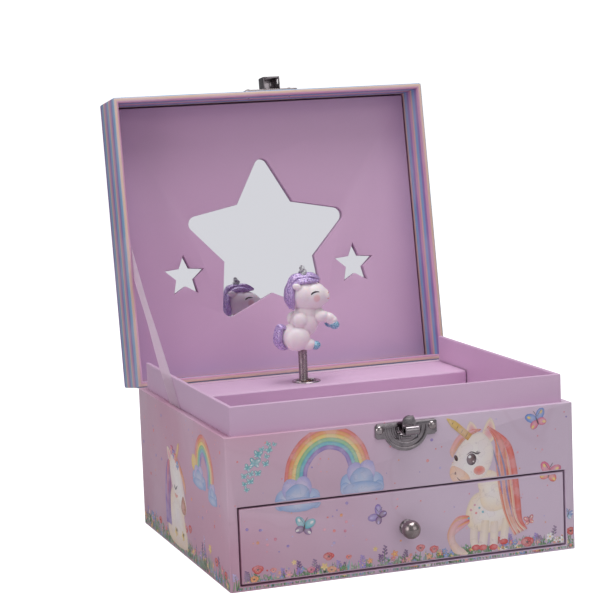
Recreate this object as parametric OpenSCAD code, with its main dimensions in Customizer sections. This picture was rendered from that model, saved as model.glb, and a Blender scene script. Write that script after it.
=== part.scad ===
// Musical jewellery box: printed board case with a drawer, a hinged lid with star mirrors,
// and a spring driven movement that turns a small figure on a flexible post.
// Origin: centre of the case's underside. +X is the width, +Y the back, +Z up.

/* [Case] */
// Outer width of the case
case_w = 180; // [150:1:220]
// Outer depth of the case
case_d = 157.2; // [140:0.1:200]
// Height of the case rim above the surface
case_h = 74; // [70:0.1:100]
// Thickness of the case boards
wall = 4; // [3:0.1:5]
// Thickness of the bottom board
base_t = 2.3; // [2:0.1:4]
// Thickness of the board between the drawer bay and the compartment
shelf_t = 2.5; // [2:0.1:4]
// Height of the underside of that board
shelf_z = 42; // [38:0.1:50]
// Thickness of the liner that rises out of the case
collar_t = 2; // [1.5:0.1:3]
// How far the liner rises above the rim
collar_rise = 14.1; // [8:0.1:18]

/* [Drawer] */
// Width of the case front left at each side of the drawer opening
drawer_side = 4.8; // [4.2:0.1:8]
// Height of the case front left between the drawer opening and the board above
drawer_rail = 1.4; // [0.8:0.1:4]
// Gap all round the drawer front
drawer_gap = 1; // [0.6:0.1:2]
// Thickness of the drawer front board
front_t = 3; // [2:0.1:4]
// Thickness of the tray boards
tray_t = 2; // [1.5:0.1:3]
// Space between the tray and the bay, on each side
tray_gap = 1; // [0.5:0.1:2]
// Diameter of the knob
knob_d = 9.2; // [7:0.1:12]
// Space between the drawer front and the middle of the knob
knob_reach = 5.6; // [5:0.1:9]

/* [Lid] */
// Outer height of the lid
lid_h = 31.6; // [28:0.1:40]
// How much thinner the lid boards are than the case boards
lid_step = 1; // [0.8:0.1:1.5]
// Angle at which the ribbon stops the lid
lid_open = 98.8; // [90:0.1:110]
// Gap between the closed lid and the case rim
rim_gap = 0.3; // [0.2:0.1:0.6]
// Depth of the mirror panel behind the lid rim
panel_depth = 22; // [20:0.1:24]
// Thickness of the mirror panel
panel_t = 2.4; // [1.5:0.1:3]
// Thickness of the mirror sheet
mirror_t = 1.2; // [1:0.1:2]
// Gap round the mirror panel
panel_gap = 1; // [0.5:0.1:2]
// Radius of the large star, centre to tip
star_r = 47.7; // [30:0.1:55]
// Radius of the two small stars
small_star_r = 11.9; // [8:0.1:14]
// Sideways distance from the large star to each small star
small_star_x = 50.2; // [44:0.1:54]
// Sideways place of the large star
star_x = -2.2; // [-5:0.1:5]
// Distance of the large star's centre from the hinge line
star_y = 73.8; // [70:0.1:80]
// How much nearer to the hinge the small stars sit
small_star_drop = 15.2; // [10:0.1:25]

/* [Cover and post] */
// Depth of the boxed cover over the movement
cover_depth = 36.6; // [34:0.1:50]
// Height of the cover above the board it stands on
cover_h = 29.5; // [29:0.1:34]
// Thickness of the cover boards
cover_t = 2; // [1.5:0.1:3]
// Gap at each end of the cover
cover_gap = 0.8; // [0.4:0.1:2]
// Sideways place of the post
post_x = -5.35; // [-20:0.05:0]
// Distance of the post from the back of the collar
post_back = 21.8; // [20:0.1:24]
// Outer diameter of the post spring
post_d = 5; // [4:0.1:6]
// Length of the post spring above the cover
post_len = 17; // [14:0.1:20]
// Outer diameter of the eyelet
eyelet_d = 15.8; // [13:0.1:18]
// Diameter of the eyelet hole
eyelet_hole_d = 10.8; // [9:0.1:12]
// Sideways offset of the eyelet from the post
eyelet_dx = 1.5; // [0:0.1:2]

/* [Clasp] */
// Sideways place of the clasp
clasp_x = 1; // [-5:0.1:5]
// Width of the lower plate across its ears
clasp_w = 32; // [28:0.1:40]
// Height of the ears
clasp_ear_h = 7.6; // [6:0.1:10]
// Radius of the half round part of the plate
clasp_r = 12; // [10:0.1:14]
// Thickness of the clasp sheet metal
clasp_t = 0.8; // [0.6:0.1:1]
// Width of the upper plate
catch_w = 30; // [26:0.1:36]
// Height of the upper plate
catch_h = 12; // [11:0.1:16]
// Outer width of the loop on the upper plate
loop_w = 9.6; // [8.6:0.1:12]
// How far the loop stands off the plate
loop_reach = 6.8; // [6.4:0.1:8]

/* [Movement] */
// Height of the winding axis above the shelf
axis_up = 13.5; // [13:0.1:15]
// Outer radius of the spring barrel
barrel_r = 11.5; // [9:0.1:12]
// Length of the spring barrel
barrel_len = 12; // [9:0.1:13]
// Teeth on the crown gear, a multiple of four
crown_teeth = 40; // [40:4:40]
// Teeth on each pinion that the crown gear drives, a multiple of four
pinion_teeth = 16; // [16:4:16]
// Gear module of the crown gear and its pinions
crown_mod = 0.4375; // [0.4375:0.0001:0.4376]
// Radius of the pinned cylinder
drum_r = 6; // [5:0.1:6.2]
// Length of the pinned cylinder
drum_len = 24; // [18:1:26]
// Number of comb teeth
comb_teeth = 18; // [12:1:18]
// Teeth on the gear at the end of the cylinder
drum_gear_teeth = 48; // [48:4:48]
// Teeth on the governor pinion
gov_pinion_teeth = 12; // [12:4:12]
// Teeth on the worm wheel
worm_wheel_teeth = 32; // [32:4:32]
// Gear module of the governor train
gov_mod = 0.3; // [0.3:0.01:0.31]
// Span of the winding key's wings
key_w = 18; // [14:0.1:20]

/* [Hidden] */
$fn = 48;

fit = 0.05;                                   // radial clearance of a running shaft
touch = 0.1;                                  // clearance of parts that only pass each other
half_w = case_w / 2;
half_d = case_d / 2;
in_w = case_w - 2 * wall;                     // inside the case boards
in_d = case_d - 2 * wall;
room_w = in_w - 2 * collar_t;                 // inside the collar liner
room_d = in_d - 2 * collar_t;
shelf_top = shelf_z + shelf_t;
collar_top = case_h + collar_rise;
cover_top = shelf_top + cover_h;
lid_t = wall - lid_step;
cover_front = room_d / 2 - cover_depth;
front_y = -half_d;

// Star mirrors
star_ratio = 0.535;                           // inner radius over outer radius
small_star_ratio = 0.46;
star_tip_r = 4.5;                             // the large star's tips are rounded

// Drawer
drawer_open_h = shelf_z - base_t - drawer_rail;
opening_w = case_w - 2 * drawer_side;
drawer_face_w = opening_w - 2 * drawer_gap;
drawer_face_h = drawer_open_h - 2 * drawer_gap;
drawer_face_z = base_t + drawer_gap;
tray_w = opening_w - 2 * tray_gap;
tray_z = base_t + 0.4;                        // the tray slides on the bottom board's lining
tray_h = drawer_open_h - 6.3;                 // low enough to clear the opening when it tips
tray_back = half_d - wall - 2;                // stops short of the back board
knob_z = drawer_face_z + drawer_face_h / 2;

// Post and figure
post_y = room_d / 2 - post_back;
post_r = post_d / 2;
fold_z = cover_top + 1;                       // axis about which the post spring bends
figure_z = cover_top + post_len;
eyelet_x = post_x + eyelet_dx;

// Clasp
plate_top = case_h - 0.5;
ring_z = plate_top - 2.4;
pin_z = plate_top - 6.6;
pin_y = front_y - clasp_t - 2.1;
pin_r = 0.7;
hook_y = front_y - 4.9;                       // front face of the hook tongue
hook_top = case_h + 3.1;
lip_y = front_y - 7.6;
lip_z = pin_z + 3.4;
lip_r = 2.2;

// Movement, all placed from the winding axis and the post
win_x = post_x;
win_z = shelf_top + axis_up;
crown_r = crown_teeth * crown_mod / 2;
pinion_r = pinion_teeth * crown_mod / 2;
crown_pitch_y = post_y + pinion_r;
crown_root_y = crown_pitch_y + 1.25 * crown_mod;
barrel_y = crown_root_y + 1.6;
frame_y = room_d / 2 - 2;                     // front face of the movement frame's back plate
pinion_len = 4.4;
drum_x = win_x + 17.35;
drum_gear_x = drum_x + drum_len + 1.5;
drum_gear_r = drum_gear_teeth * gov_mod / 2;
gov_pinion_r = gov_pinion_teeth * gov_mod / 2;
gov_y = post_y + drum_gear_r + gov_pinion_r;
worm_wheel_r = worm_wheel_teeth * gov_mod / 2;
worm_wheel_x = drum_gear_x + 3.8;
worm_r = 1.6;
worm_x = worm_wheel_x + 0.75;
worm_y = gov_y + worm_wheel_r + worm_r;
worm_pitch = PI * gov_mod;
cheek_left = win_x + 13.95;
cheek_right = worm_wheel_x + 3.4;
cheek_t = 2;
frame_left = win_x - 18;
frame_right = cheek_right + cheek_t + 1;
arbor_r = 1.2;
gov_arbor_r = 0.9;
comb_z = win_z - 0.6;
key_y = half_d + 0.8;

// A tube or disc along Y, X or Z
module along_y(y, len, r) { translate([0, y, 0]) rotate([-90, 0, 0]) cylinder(h = len, r = r); }
module along_x(x, len, r) { translate([x, 0, 0]) rotate([0, 90, 0]) cylinder(h = len, r = r); }

// A box given by its middle in X, its lowest Y and Z, and its sizes
module board(x, y, z, w, d, h) { translate([x - w / 2, y, z]) cube([w, d, h]); }

// Places what is drawn with the hinge line at the origin and the lid closed
module on_lid() { translate([0, half_d, case_h]) rotate([-lid_open, 0, 0]) children(); }

function star_points(r, ratio) =
    [for (i = [0:9]) let (q = i % 2 == 0 ? r : r * ratio) [-q * sin(36 * i), q * cos(36 * i)]];

// The star shapes cut through the mirror panel, seen from the rim side
module star_cuts() {
    translate([star_x, -star_y]) mirror([0, 1]) offset(r = star_tip_r, $fn = 32)
        polygon(star_points(star_r - star_tip_r, star_ratio));
    for (side = [-1, 1])
        translate([star_x + side * small_star_x, small_star_drop - star_y]) mirror([0, 1])
            polygon(star_points(small_star_r, small_star_ratio));
}

// Outline of a spur gear, with a tooth centred on the direction "turn"
module gear_outline(teeth, mod, bore_r, turn = 0) {
    pitch_r = teeth * mod / 2;
    root_r = pitch_r - 1.25 * mod;
    tip_r = pitch_r + mod;
    difference() {
        union() {
            circle(r = root_r);
            for (i = [0:teeth - 1]) rotate(turn + i * 360 / teeth)
                polygon([[root_r * 0.9, -0.9 * mod], [pitch_r, -0.64 * mod], [tip_r, -0.35 * mod],
                         [tip_r, 0.35 * mod], [pitch_r, 0.64 * mod], [root_r * 0.9, 0.9 * mod]]);
        }
        circle(r = bore_r);
    }
}

// ---- Case ----

module case_shell() color("pink") difference() {
    board(0, front_y, 0, case_w, case_d, case_h);
    board(0, wall - half_d, base_t, in_w, in_d, case_h);
    board(0, front_y - 1, base_t, opening_w, wall + 2, drawer_open_h);
    ribbon_slot();
    back_holes();
}

// Shallow pocket in the left board that takes the ribbon's glued end
module ribbon_slot()
    translate([-in_w / 2 - ribbon_gap - ribbon_t, ribbon_low[0] - 7, ribbon_low[1] - 6])
        cube([1, 33, case_h]);

screw_r = 1.3;
screw_head_r = 2.7;
arbor_hole_r = 3.4;

// Holes through the back boards for the winding arbor and the frame screws
module back_holes() {
    translate([win_x, 0, win_z]) along_y(room_d / 2 - 0.5, wall + collar_t + 1, arbor_hole_r);
    for (p = screw_points()) translate([p[0], 0, p[1]])
        along_y(room_d / 2 - 0.5, wall + collar_t + 1, screw_r + 0.3);
}

function screw_points() = [[win_x - 15, win_z - 9], [win_x - 15, win_z + 9], [win_x + 31, win_z + 9]];

module shelf_board() color("pink") board(0, wall - half_d, shelf_z, in_w, in_d, shelf_t);

module collar_liner() color("plum") difference() {
    board(0, wall - half_d, shelf_top, in_w, in_d, collar_top - shelf_top);
    board(0, wall + collar_t - half_d, shelf_top - 1, room_w, room_d, collar_top);
    // at the back the liner stops level with the case rim
    board(0, room_d / 2 - 1, case_h, room_w, collar_t + 2, collar_top);
    back_holes();
}

module music_cover() color("plum") difference() {
    union() {
        board(0, cover_front, cover_top - cover_t, room_w - 2 * cover_gap, cover_depth - touch, cover_t);
        board(0, cover_front, shelf_top, room_w - 2 * cover_gap, cover_t, cover_top - shelf_top - cover_t);
    }
    translate([eyelet_x, post_y, cover_top - cover_t - 1]) cylinder(h = cover_t + 2, r = eyelet_neck_r);
}

eyelet_r = eyelet_d / 2;
eyelet_neck_r = eyelet_hole_d / 2 + 0.4;

module cover_eyelet() color("silver") translate([eyelet_x, post_y, 0]) difference() {
    union() {
        translate([0, 0, cover_top]) rotate_extrude()
            polygon([[0, 0], [eyelet_r, 0], [eyelet_r - 0.3, 0.5], [eyelet_r - 1.2, 0.8], [0, 0.8]]);
        translate([0, 0, cover_top - cover_t - 0.6]) cylinder(h = cover_t + 0.6, r = eyelet_neck_r);
    }
    translate([0, 0, cover_top - cover_t - 2]) cylinder(h = cover_t + 4, r = eyelet_hole_d / 2);
}

cloth_t = 0.4;
cloth_h = 14;
cloth_w = case_w - 6;

module hinge_cloth_case() color("plum") difference() {
    board(0, half_d, case_h - 1 - cloth_h, cloth_w, cloth_t, cloth_h);
    translate([win_x, 0, win_z]) along_y(half_d - 1, 3, arbor_hole_r);
    for (p = screw_points()) translate([p[0], 0, p[1]]) along_y(half_d - 1, 3, screw_head_r + touch);
}

module hinge_cloth_lid() color("plum") on_lid() board(0, 0, 1, cloth_w, cloth_t, cloth_h);

// ---- Ribbon ----

ribbon_w = 12;
ribbon_t = 0.3;
ribbon_gap = 0.5;                             // between the ribbon and the liner beside it
ribbon_low = [4.4, case_h - 12];              // Y and Z of the glued end in the case
ribbon_up = 76;                               // distance of the lid end from the hinge line
ribbon_in = 9;                                // depth of the lid end behind the lid rim
ribbon_high = [half_d - ribbon_up * cos(lid_open) + ribbon_in * sin(lid_open),
               case_h + ribbon_up * sin(lid_open) + ribbon_in * cos(lid_open)];
ribbon_run = ribbon_high - ribbon_low;

module ribbon_stay() color("lavenderblush")
    translate([-in_w / 2 - ribbon_gap - ribbon_t, ribbon_low[0], ribbon_low[1]])
        rotate([atan2(ribbon_run[1], ribbon_run[0]), 0, 0])
            translate([0, 0, -ribbon_w / 2]) cube([ribbon_t, norm(ribbon_run), ribbon_w]);

// ---- Lid ----

module lid_shell() color("pink") on_lid() difference() {
    board(0, -case_d, rim_gap, case_w, case_d, lid_h - rim_gap);
    board(0, lid_t - case_d, -1, case_w - 2 * lid_t, case_d - 2 * lid_t, lid_h + 1 - lid_t);
    for (x = catch_nail_x()) translate([x, 0, catch_nail_z]) along_y(-case_d - 1, lid_t + 2, 0.7);
}

panel_w = case_w - 2 * lid_t - 2 * panel_gap;
panel_d = case_d - 2 * lid_t - panel_gap;

module panel_spacers() color("white") on_lid() {
    top = lid_h - lid_t - panel_depth - panel_t - mirror_t;
    for (y = [-lid_t - 14, lid_t + 6 - case_d])
        board(0, y, lid_h - lid_t - top, panel_w - 40, 12, top);
}

module mirror_panel() color("orchid") on_lid() translate([0, 0, panel_depth])
    linear_extrude(panel_t) difference() {
        translate([-panel_w / 2, -lid_t - panel_d]) square([panel_w, panel_d]);
        star_cuts();
    }

module star_mirror() color("white") on_lid()
    board(0, -lid_t - panel_d + 6, panel_depth + panel_t, panel_w - 12, panel_d - 12, mirror_t);

// ---- Drawer ----

module drawer_tray() color("pink") difference() {
    board(0, front_y + front_t, tray_z, tray_w, tray_back - front_y - front_t, tray_h);
    board(0, front_y + front_t + tray_t, tray_z + tray_t, tray_w - 2 * tray_t,
          tray_back - front_y - front_t - 2 * tray_t, tray_h);
    translate([0, 0, knob_z]) along_y(front_y, front_t + tray_t + 1, 1.6);
}

module drawer_front() color("pink") difference() {
    board(0, front_y, drawer_face_z, drawer_face_w, front_t, drawer_face_h);
    translate([0, 0, knob_z]) along_y(front_y - 1, front_t + 2, 1.6);
}

module drawer_knob() color("silver") translate([0, front_y, knob_z]) difference() {
    union() {
        translate([0, -knob_reach, 0]) sphere(r = knob_d / 2);
        along_y(-knob_reach, knob_reach - 1.2, 1.9);
    }
    along_y(-knob_reach, knob_reach + 1, 1.1);
}

module knob_base() color("gray") translate([0, front_y, knob_z]) difference() {
    rotate([90, 0, 0]) rotate_extrude()
        polygon([[0, 0], [3.9, 0], [3.9, 0.4], [3.2, 1.1], [0, 1.2]]);
    along_y(-2, 4, 1.6);
}

module knob_screw() color("silver") translate([0, front_y + front_t + tray_t, knob_z]) {
    along_y(-front_t - tray_t - knob_reach + 1, front_t + tray_t + knob_reach - 1, 1.1);
    along_y(0, 1.6, 2.8);
}

// ---- Lower clasp on the case ----

module clasp_outline() {
    translate([-clasp_w / 2, plate_top - clasp_ear_h]) square([clasp_w, clasp_ear_h]);
    intersection() {
        translate([0, ring_z]) circle(r = clasp_r);
        translate([-clasp_r, plate_top - 30]) square([2 * clasp_r, 30]);
    }
}

nail_r = 2;
function clasp_nail_x() = [for (s = [-1, 1]) clasp_x + s * (clasp_w / 2 - nail_r - 0.4)];
clasp_nail_z = plate_top - 3.2;

// Raised half rings of the plate: radius and height of each
clasp_rings = [[10.7, 0.6], [8.3, 0.5], [6, 0.5]];

module clasp_plate() color("silver") difference() {
    union() {
        translate([clasp_x, front_y, 0]) rotate([90, 0, 0]) linear_extrude(clasp_t) clasp_outline();
        intersection() {
            for (ring = clasp_rings) translate([clasp_x, front_y - clasp_t, ring_z]) rotate([90, 0, 0])
                rotate_extrude() polygon([[ring[0] - 0.7, -0.2], [ring[0] - 0.35, ring[1]],
                                          [ring[0] + 0.35, ring[1]], [ring[0] + 0.7, -0.2]]);
            board(clasp_x, front_y - 3, ring_z - clasp_r, 2 * clasp_r, 3, clasp_r);
        }
        for (s = [-1, 1]) translate([clasp_x + s * 4.9 - 0.4, 0, 0]) clasp_lug();
    }
    for (x = clasp_nail_x()) translate([x, 0, clasp_nail_z]) along_y(front_y - 2, 3, 0.7);
    translate([0, pin_y, pin_z]) along_x(clasp_x - 6, 12, pin_r);
}

// Ear that holds the lever's pin
module clasp_lug() {
    translate([0, pin_y, pin_z]) along_x(0, 0.8, 1.5);
    translate([0, pin_y, pin_z - 1.5]) cube([0.8, front_y - pin_y, 3]);
}

// Domed nail: the shank is drawn into the board, the head stands on the plate
module domed_nail(shank) {
    along_y(0, shank, 0.6);
    intersection() {
        translate([0, 1.4, 0]) sphere(r = 2.45);
        along_y(-2, 2, nail_r);
    }
}

module clasp_nails() color("silver") for (x = clasp_nail_x())
    translate([x, front_y - clasp_t, clasp_nail_z]) domed_nail(clasp_t);

module clasp_pin() color("gray") translate([0, pin_y, pin_z]) along_x(clasp_x - 5.4, 10.8, pin_r);

module clasp_lever() color("silver") difference() {
    union() {
        translate([0, pin_y, pin_z]) along_x(clasp_x - 4.3, 6.2, 1.5);
        // tongue with a round top, which carries the catching barb
        translate([clasp_x, hook_y + clasp_t, 0]) rotate([90, 0, 0]) linear_extrude(clasp_t) {
            translate([-3.4, pin_z - 0.6]) square([6.8, hook_top - 3.4 - pin_z + 0.6]);
            translate([0, hook_top - 3.4]) circle(r = 3.4);
        }
        board(clasp_x, hook_y - 1.3, hook_top - 0.9, 4, 1.5, 0.8);
        // web from the knuckle to the tongue, and the rolled finger lip
        board(clasp_x - 1.2, hook_y, pin_z - 0.6, 4.4, pin_y - hook_y, 1.2);
        board(clasp_x, lip_y, lip_z - 2, 6.8, hook_y - lip_y + 0.4, 1);
        translate([0, lip_y, lip_z]) along_x(clasp_x - 3.6, 7.2, lip_r);
    }
    translate([0, pin_y, pin_z]) along_x(clasp_x - 5, 10, pin_r + fit);
    translate([0, lip_y - 0.2, lip_z + 0.2]) along_x(clasp_x - 4, 8, lip_r - 0.9);
}

module clasp_spring() color("gray") translate([0, pin_y, pin_z]) difference() {
    along_x(clasp_x + 2.2, 1.8, 1.1);
    along_x(clasp_x + 2, 3, pin_r + touch);
}

// ---- Upper catch on the lid, drawn with the lid closed ----

function catch_nail_x() = [for (s = [-1, 1]) clasp_x + s * (catch_w / 2 - 3)];
catch_low = 1.2;                              // the plate's lower edge above the rim plane
catch_nail_z = catch_low + 6.4;

module catch_plate() color("silver") on_lid() difference() {
    board(clasp_x, -case_d - clasp_t, catch_low, catch_w, clasp_t, catch_h);
    for (x = catch_nail_x()) translate([x, 0, catch_nail_z]) along_y(-case_d - 2, 3, 0.7);
}

loop_z = 1;                                   // the loop's lower edge above the rim plane
loop_h = 8.5;
loop_in = loop_w - 2 * clasp_t;
loop_sill = 2;                                // lower edge of the window above the rim plane

module catch_loop() color("silver") on_lid() difference() {
    translate([clasp_x, -case_d - clasp_t, loop_z]) rotate([90, 0, 90]) translate([0, 0, -loop_w / 2])
        linear_extrude(loop_w) {
            translate([-loop_reach, 0]) square([loop_reach, loop_h - 3]);
            translate([-loop_reach + 3, 0]) square([loop_reach - 3, loop_h]);
            translate([-loop_reach + 3, loop_h - 3]) circle(r = 3);
        }
    // the inside, the window that the barb snaps into, and a slot in one side wall
    board(clasp_x, -case_d - loop_reach, loop_z - 1, loop_in, loop_reach + 1, loop_h - clasp_t - 0.5);
    board(clasp_x, -case_d - clasp_t - loop_reach - 1, loop_sill, 5, 3, 3.4);
    board(clasp_x + loop_w / 2, -case_d - loop_reach + 1, loop_z + 1, 3, 3, 3);
}

module catch_nails() color("silver") on_lid() for (x = catch_nail_x())
    translate([x, -case_d - clasp_t, catch_nail_z]) domed_nail(lid_t + clasp_t + 0.4);

// ---- Movement frame ----

module movement_frame() color("silver") difference() {
    union() {
        translate([frame_left, frame_y, shelf_top + 0.6])
            cube([frame_right - frame_left, 2 - touch, cover_top - cover_t - shelf_top - 1.2]);
        for (x = [cheek_left, cheek_right])
            translate([x, post_y - 4, win_z - 5]) cube([cheek_t, frame_y - post_y + 4.5, 10]);
        // ledge under the comb
        translate([drum_x + 0.3, frame_y - 6, comb_z - 5]) cube([drum_len - 1, 6.5, 5]);
    }
    translate([win_x, 0, win_z]) along_y(frame_y - 1, 4, arbor_big_r + fit);
    translate([0, post_y, win_z])
        along_x(cheek_left - 1, cheek_right - cheek_left + cheek_t + 2, arbor_r + fit);
    translate([0, gov_y, win_z]) along_x(cheek_right - 1, cheek_t + 2, gov_arbor_r + fit);
    for (p = screw_points()) translate([p[0], 0, p[1]]) along_y(frame_y - 1, 4, screw_r);
    for (x = comb_screw_x()) translate([x, frame_y - 2.2, comb_z - 4]) cylinder(h = 6, r = 0.9);
}

module frame_screws() color("silver") for (p = screw_points()) translate([p[0], 0, p[1]]) {
    along_y(frame_y + 0.2, half_d - frame_y, screw_r);
    along_y(half_d, 1.4, screw_head_r);
}

// ---- Barrel, mainspring and winding ----

arbor_big_r = 1.8;
barrel_wall = 0.8;

module spring_barrel() color("goldenrod") translate([win_x, 0, win_z]) difference() {
    along_y(barrel_y, barrel_len - 1, barrel_r);
    along_y(barrel_y + 1, barrel_len, barrel_r - barrel_wall);
    along_y(barrel_y - 1, 4, arbor_big_r + fit);
}

module barrel_cap() color("goldenrod") translate([win_x, 0, win_z]) difference() {
    along_y(barrel_y + barrel_len - 1, 0.8, barrel_r);
    along_y(barrel_y + barrel_len - 2, 4, arbor_big_r + fit);
}

// Teeth stand on the front face of the barrel and point at the post
module crown_gear() color("gold") translate([win_x, 0, win_z]) difference() {
    union() {
        along_y(crown_root_y, barrel_y - crown_root_y, crown_r + 1);
        for (i = [0:crown_teeth - 1]) rotate([0, i * 360 / crown_teeth, 0])
            board(0, crown_pitch_y - crown_mod, crown_r - 0.7, crown_mod, 1.2 + 2 * crown_mod, 1.4);
    }
    along_y(crown_root_y - 2, 6, arbor_big_r + fit);
}

spring_turns = 6;
spring_step = 15;
spring_in = arbor_big_r + 0.8;
spring_out = barrel_r - barrel_wall - 0.8;

// Spiral band: the radius grows evenly with the angle
function spiral(offset_r) = [for (a = [0:spring_step:spring_turns * 360])
    (spring_in + offset_r + (spring_out - spring_in) * a / (spring_turns * 360)) * [cos(a), sin(a)]];
function reversed(list) = [for (i = [len(list) - 1:-1:0]) list[i]];

module mainspring() color("slategray") translate([win_x, barrel_y + 1.5, win_z])
    rotate([-90, 0, 0]) linear_extrude(barrel_len - 3)
        polygon(concat(spiral(0), reversed(spiral(0.35))));

module winding_arbor() color("silver") translate([win_x, 0, win_z])
    along_y(crown_pitch_y + 1, key_y + 4 - crown_pitch_y - 1, arbor_big_r);

ratchet_y = frame_y - 1.3;
ratchet_teeth = 12;
ratchet_r = 4;

module ratchet_wheel() color("goldenrod") translate([win_x, ratchet_y, win_z]) rotate([-90, 0, 0])
    linear_extrude(0.8) difference() {
        union() {
            circle(r = ratchet_r - 0.9);
            for (i = [0:ratchet_teeth - 1]) rotate(i * 360 / ratchet_teeth)
                polygon([[0, 0], [ratchet_r - 0.9, 0], [ratchet_r, 0.1],
                         [(ratchet_r - 1) * cos(30), ratchet_r * sin(26)]]);
        }
        circle(r = arbor_big_r);
    }

// Leaf that lies on the ratchet wheel, fixed to the frame's back plate
module ratchet_click() color("silver") translate([win_x, 0, win_z]) {
    board(-8.5, ratchet_y + 0.1, 4.4, 3, frame_y - ratchet_y - 0.1, 3);
    board(-4.2, ratchet_y + 0.1, 4.4, 6.6, 0.6, 0.5);
}

module winding_key() color("gold") translate([win_x, 0, win_z]) difference() {
    union() {
        along_y(key_y, 5.5, 3);
        board(0, key_y + 4.5, -1.1, key_w * 0.7, 8, 2.2);
        for (s = [-1, 1]) translate([s * key_w * 0.27, key_y + 8.5, -1.1])
            cylinder(h = 2.2, r = key_w * 0.23);
    }
    along_y(key_y - 1, 5, arbor_big_r);
    for (s = [-1, 1]) translate([s * key_w * 0.27, key_y + 8.5, -2]) cylinder(h = 4, r = key_w * 0.1);
}

// ---- Pinned cylinder and comb ----

pin_rows = 9;
pins_per_row = 6;

module drum() color("gold") translate([0, post_y, win_z]) difference() {
    union() {
        along_x(drum_x, drum_len, drum_r);
        for (i = [0:pin_rows - 1], j = [0:pins_per_row - 1])
            translate([drum_x + 1.3 + i * (drum_len - 2.6) / (pin_rows - 1), 0, 0])
                rotate([i * 47 + j * 60 + 20, 0, 0]) cylinder(h = drum_r + 0.45, r = 0.2, $fn = 6);
    }
    along_x(drum_x - 1, drum_len + 2, arbor_r);
}

drum_pinion_x = win_x + crown_r - pinion_len / 2;

module drum_arbor() color("silver") translate([0, post_y, win_z])
    along_x(drum_pinion_x - 0.3, cheek_right + cheek_t + 0.6 - drum_pinion_x, arbor_r);

module drum_pinion() color("gold") translate([drum_pinion_x, post_y, win_z])
    rotate([90, 0, 90]) linear_extrude(pinion_len)
        gear_outline(pinion_teeth, crown_mod, arbor_r, 180 / pinion_teeth);

module drum_gear() color("gold") translate([drum_gear_x - 0.75, post_y, win_z])
    rotate([90, 0, 90]) linear_extrude(1.5) gear_outline(drum_gear_teeth, gov_mod, arbor_r);

function comb_screw_x() = [drum_x + 5, drum_x + drum_len - 6];
comb_tip_y = post_y + drum_r + 0.65;
comb_root_y = frame_y - 4.6;
comb_pitch = (drum_len - 1.6) / comb_teeth;

module comb() color("lightsteelblue") difference() {
    union() {
        translate([drum_x + 0.6, comb_root_y, comb_z])
            cube([drum_len - 1.6, frame_y - comb_root_y - 0.2, 1.2]);
        for (i = [0:comb_teeth - 1])
            translate([drum_x + 0.6 + (i + 0.15) * comb_pitch, comb_tip_y, comb_z + 0.2])
                cube([comb_pitch * 0.7, comb_root_y - comb_tip_y + 0.1, 0.8]);
    }
    for (x = comb_screw_x()) translate([x, frame_y - 2.2, comb_z - 1]) cylinder(h = 4, r = 1);
}

module comb_screws() color("silver") for (x = comb_screw_x()) translate([x, frame_y - 2.2, comb_z]) {
    translate([0, 0, -3.5]) cylinder(h = 5, r = 0.9);
    translate([0, 0, 1.2]) cylinder(h = 0.9, r = 1.7);
}

// ---- Governor ----

fly_top_z = cover_top - cover_t - 2.2;
fly_low_z = shelf_top + 1.2;
gov_cheek_x = drum_gear_x + 1.7;
gov_frame_w = worm_x + 2.4 - gov_cheek_x;

module governor_frame() color("gray") difference() {
    union() {
        for (z = [fly_top_z, fly_low_z])
            translate([gov_cheek_x, gov_y - 2, z]) cube([gov_frame_w, frame_y - gov_y + 2, 1.2]);
        translate([gov_cheek_x, gov_y - 2, win_z - 2.2]) cube([0.9, 4, fly_top_z - win_z + 2.7]);
        translate([gov_cheek_x, frame_y - 0.8, fly_low_z])
            cube([gov_frame_w, 0.8, fly_top_z - fly_low_z + 1]);
    }
    translate([worm_x, worm_y, fly_low_z - 1]) cylinder(h = 40, r = 0.6 + fit);
    translate([0, gov_y, win_z]) along_x(gov_cheek_x - 1, 3, gov_arbor_r + fit);
}

module governor_wheel() color("gold") translate([0, gov_y, win_z]) {
    along_x(drum_gear_x - 1.1, cheek_right + cheek_t + 0.3 - drum_gear_x + 1.1, gov_arbor_r);
    translate([drum_gear_x - 1, 0, 0]) rotate([90, 0, 90]) linear_extrude(2)
        gear_outline(gov_pinion_teeth, gov_mod, gov_arbor_r - 0.1, 180 / gov_pinion_teeth);
    translate([worm_x - 0.3, 0, 0]) rotate([90, 0, 90]) linear_extrude(0.6)
        gear_outline(worm_wheel_teeth, gov_mod, gov_arbor_r - 0.1);
}

worm_starts = 4;                              // so the worm turns 8 times for one turn of its wheel
worm_len = 7;
worm_turn = 360 * worm_len / (worm_starts * worm_pitch);

// Section of the worm: one lobe for each thread, with a gap on the side that faces the wheel
module worm_section() union() {
    circle(r = worm_r - 0.5);
    for (i = [0:worm_starts - 1]) rotate(45 + worm_turn / 2 + i * 360 / worm_starts)
        polygon([for (p = [[-23, -0.52], [-13, 0], [-7, 0.3], [7, 0.3], [13, 0], [23, -0.52]])
            (worm_r + p[1]) * [cos(p[0]), sin(p[0])]]);
}

module fly_worm() color("silver") translate([worm_x, worm_y, 0]) {
    translate([0, 0, fly_low_z + 0.2]) cylinder(h = fly_top_z - fly_low_z + 0.8, r = 0.6);
    translate([0, 0, win_z - worm_len / 2])
        linear_extrude(worm_len, twist = worm_turn, slices = 80) worm_section();
}

fly_h = 5.6;
fly_z = fly_top_z - fly_h - 0.4;

module fly_blade() color("gold") translate([worm_x, worm_y, fly_z]) difference() {
    board(0, -0.25, 0, 5.8, 0.5, fly_h);
    translate([0, 0, -1]) cylinder(h = fly_h + 2, r = 0.6);
}

// ---- Spindle that turns the post ----

spindle_r = 1.5;
bracket_z = win_z + max(crown_r + pinion_len / 2, barrel_r) + 0.3;
bush_r = 2.8;

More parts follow.
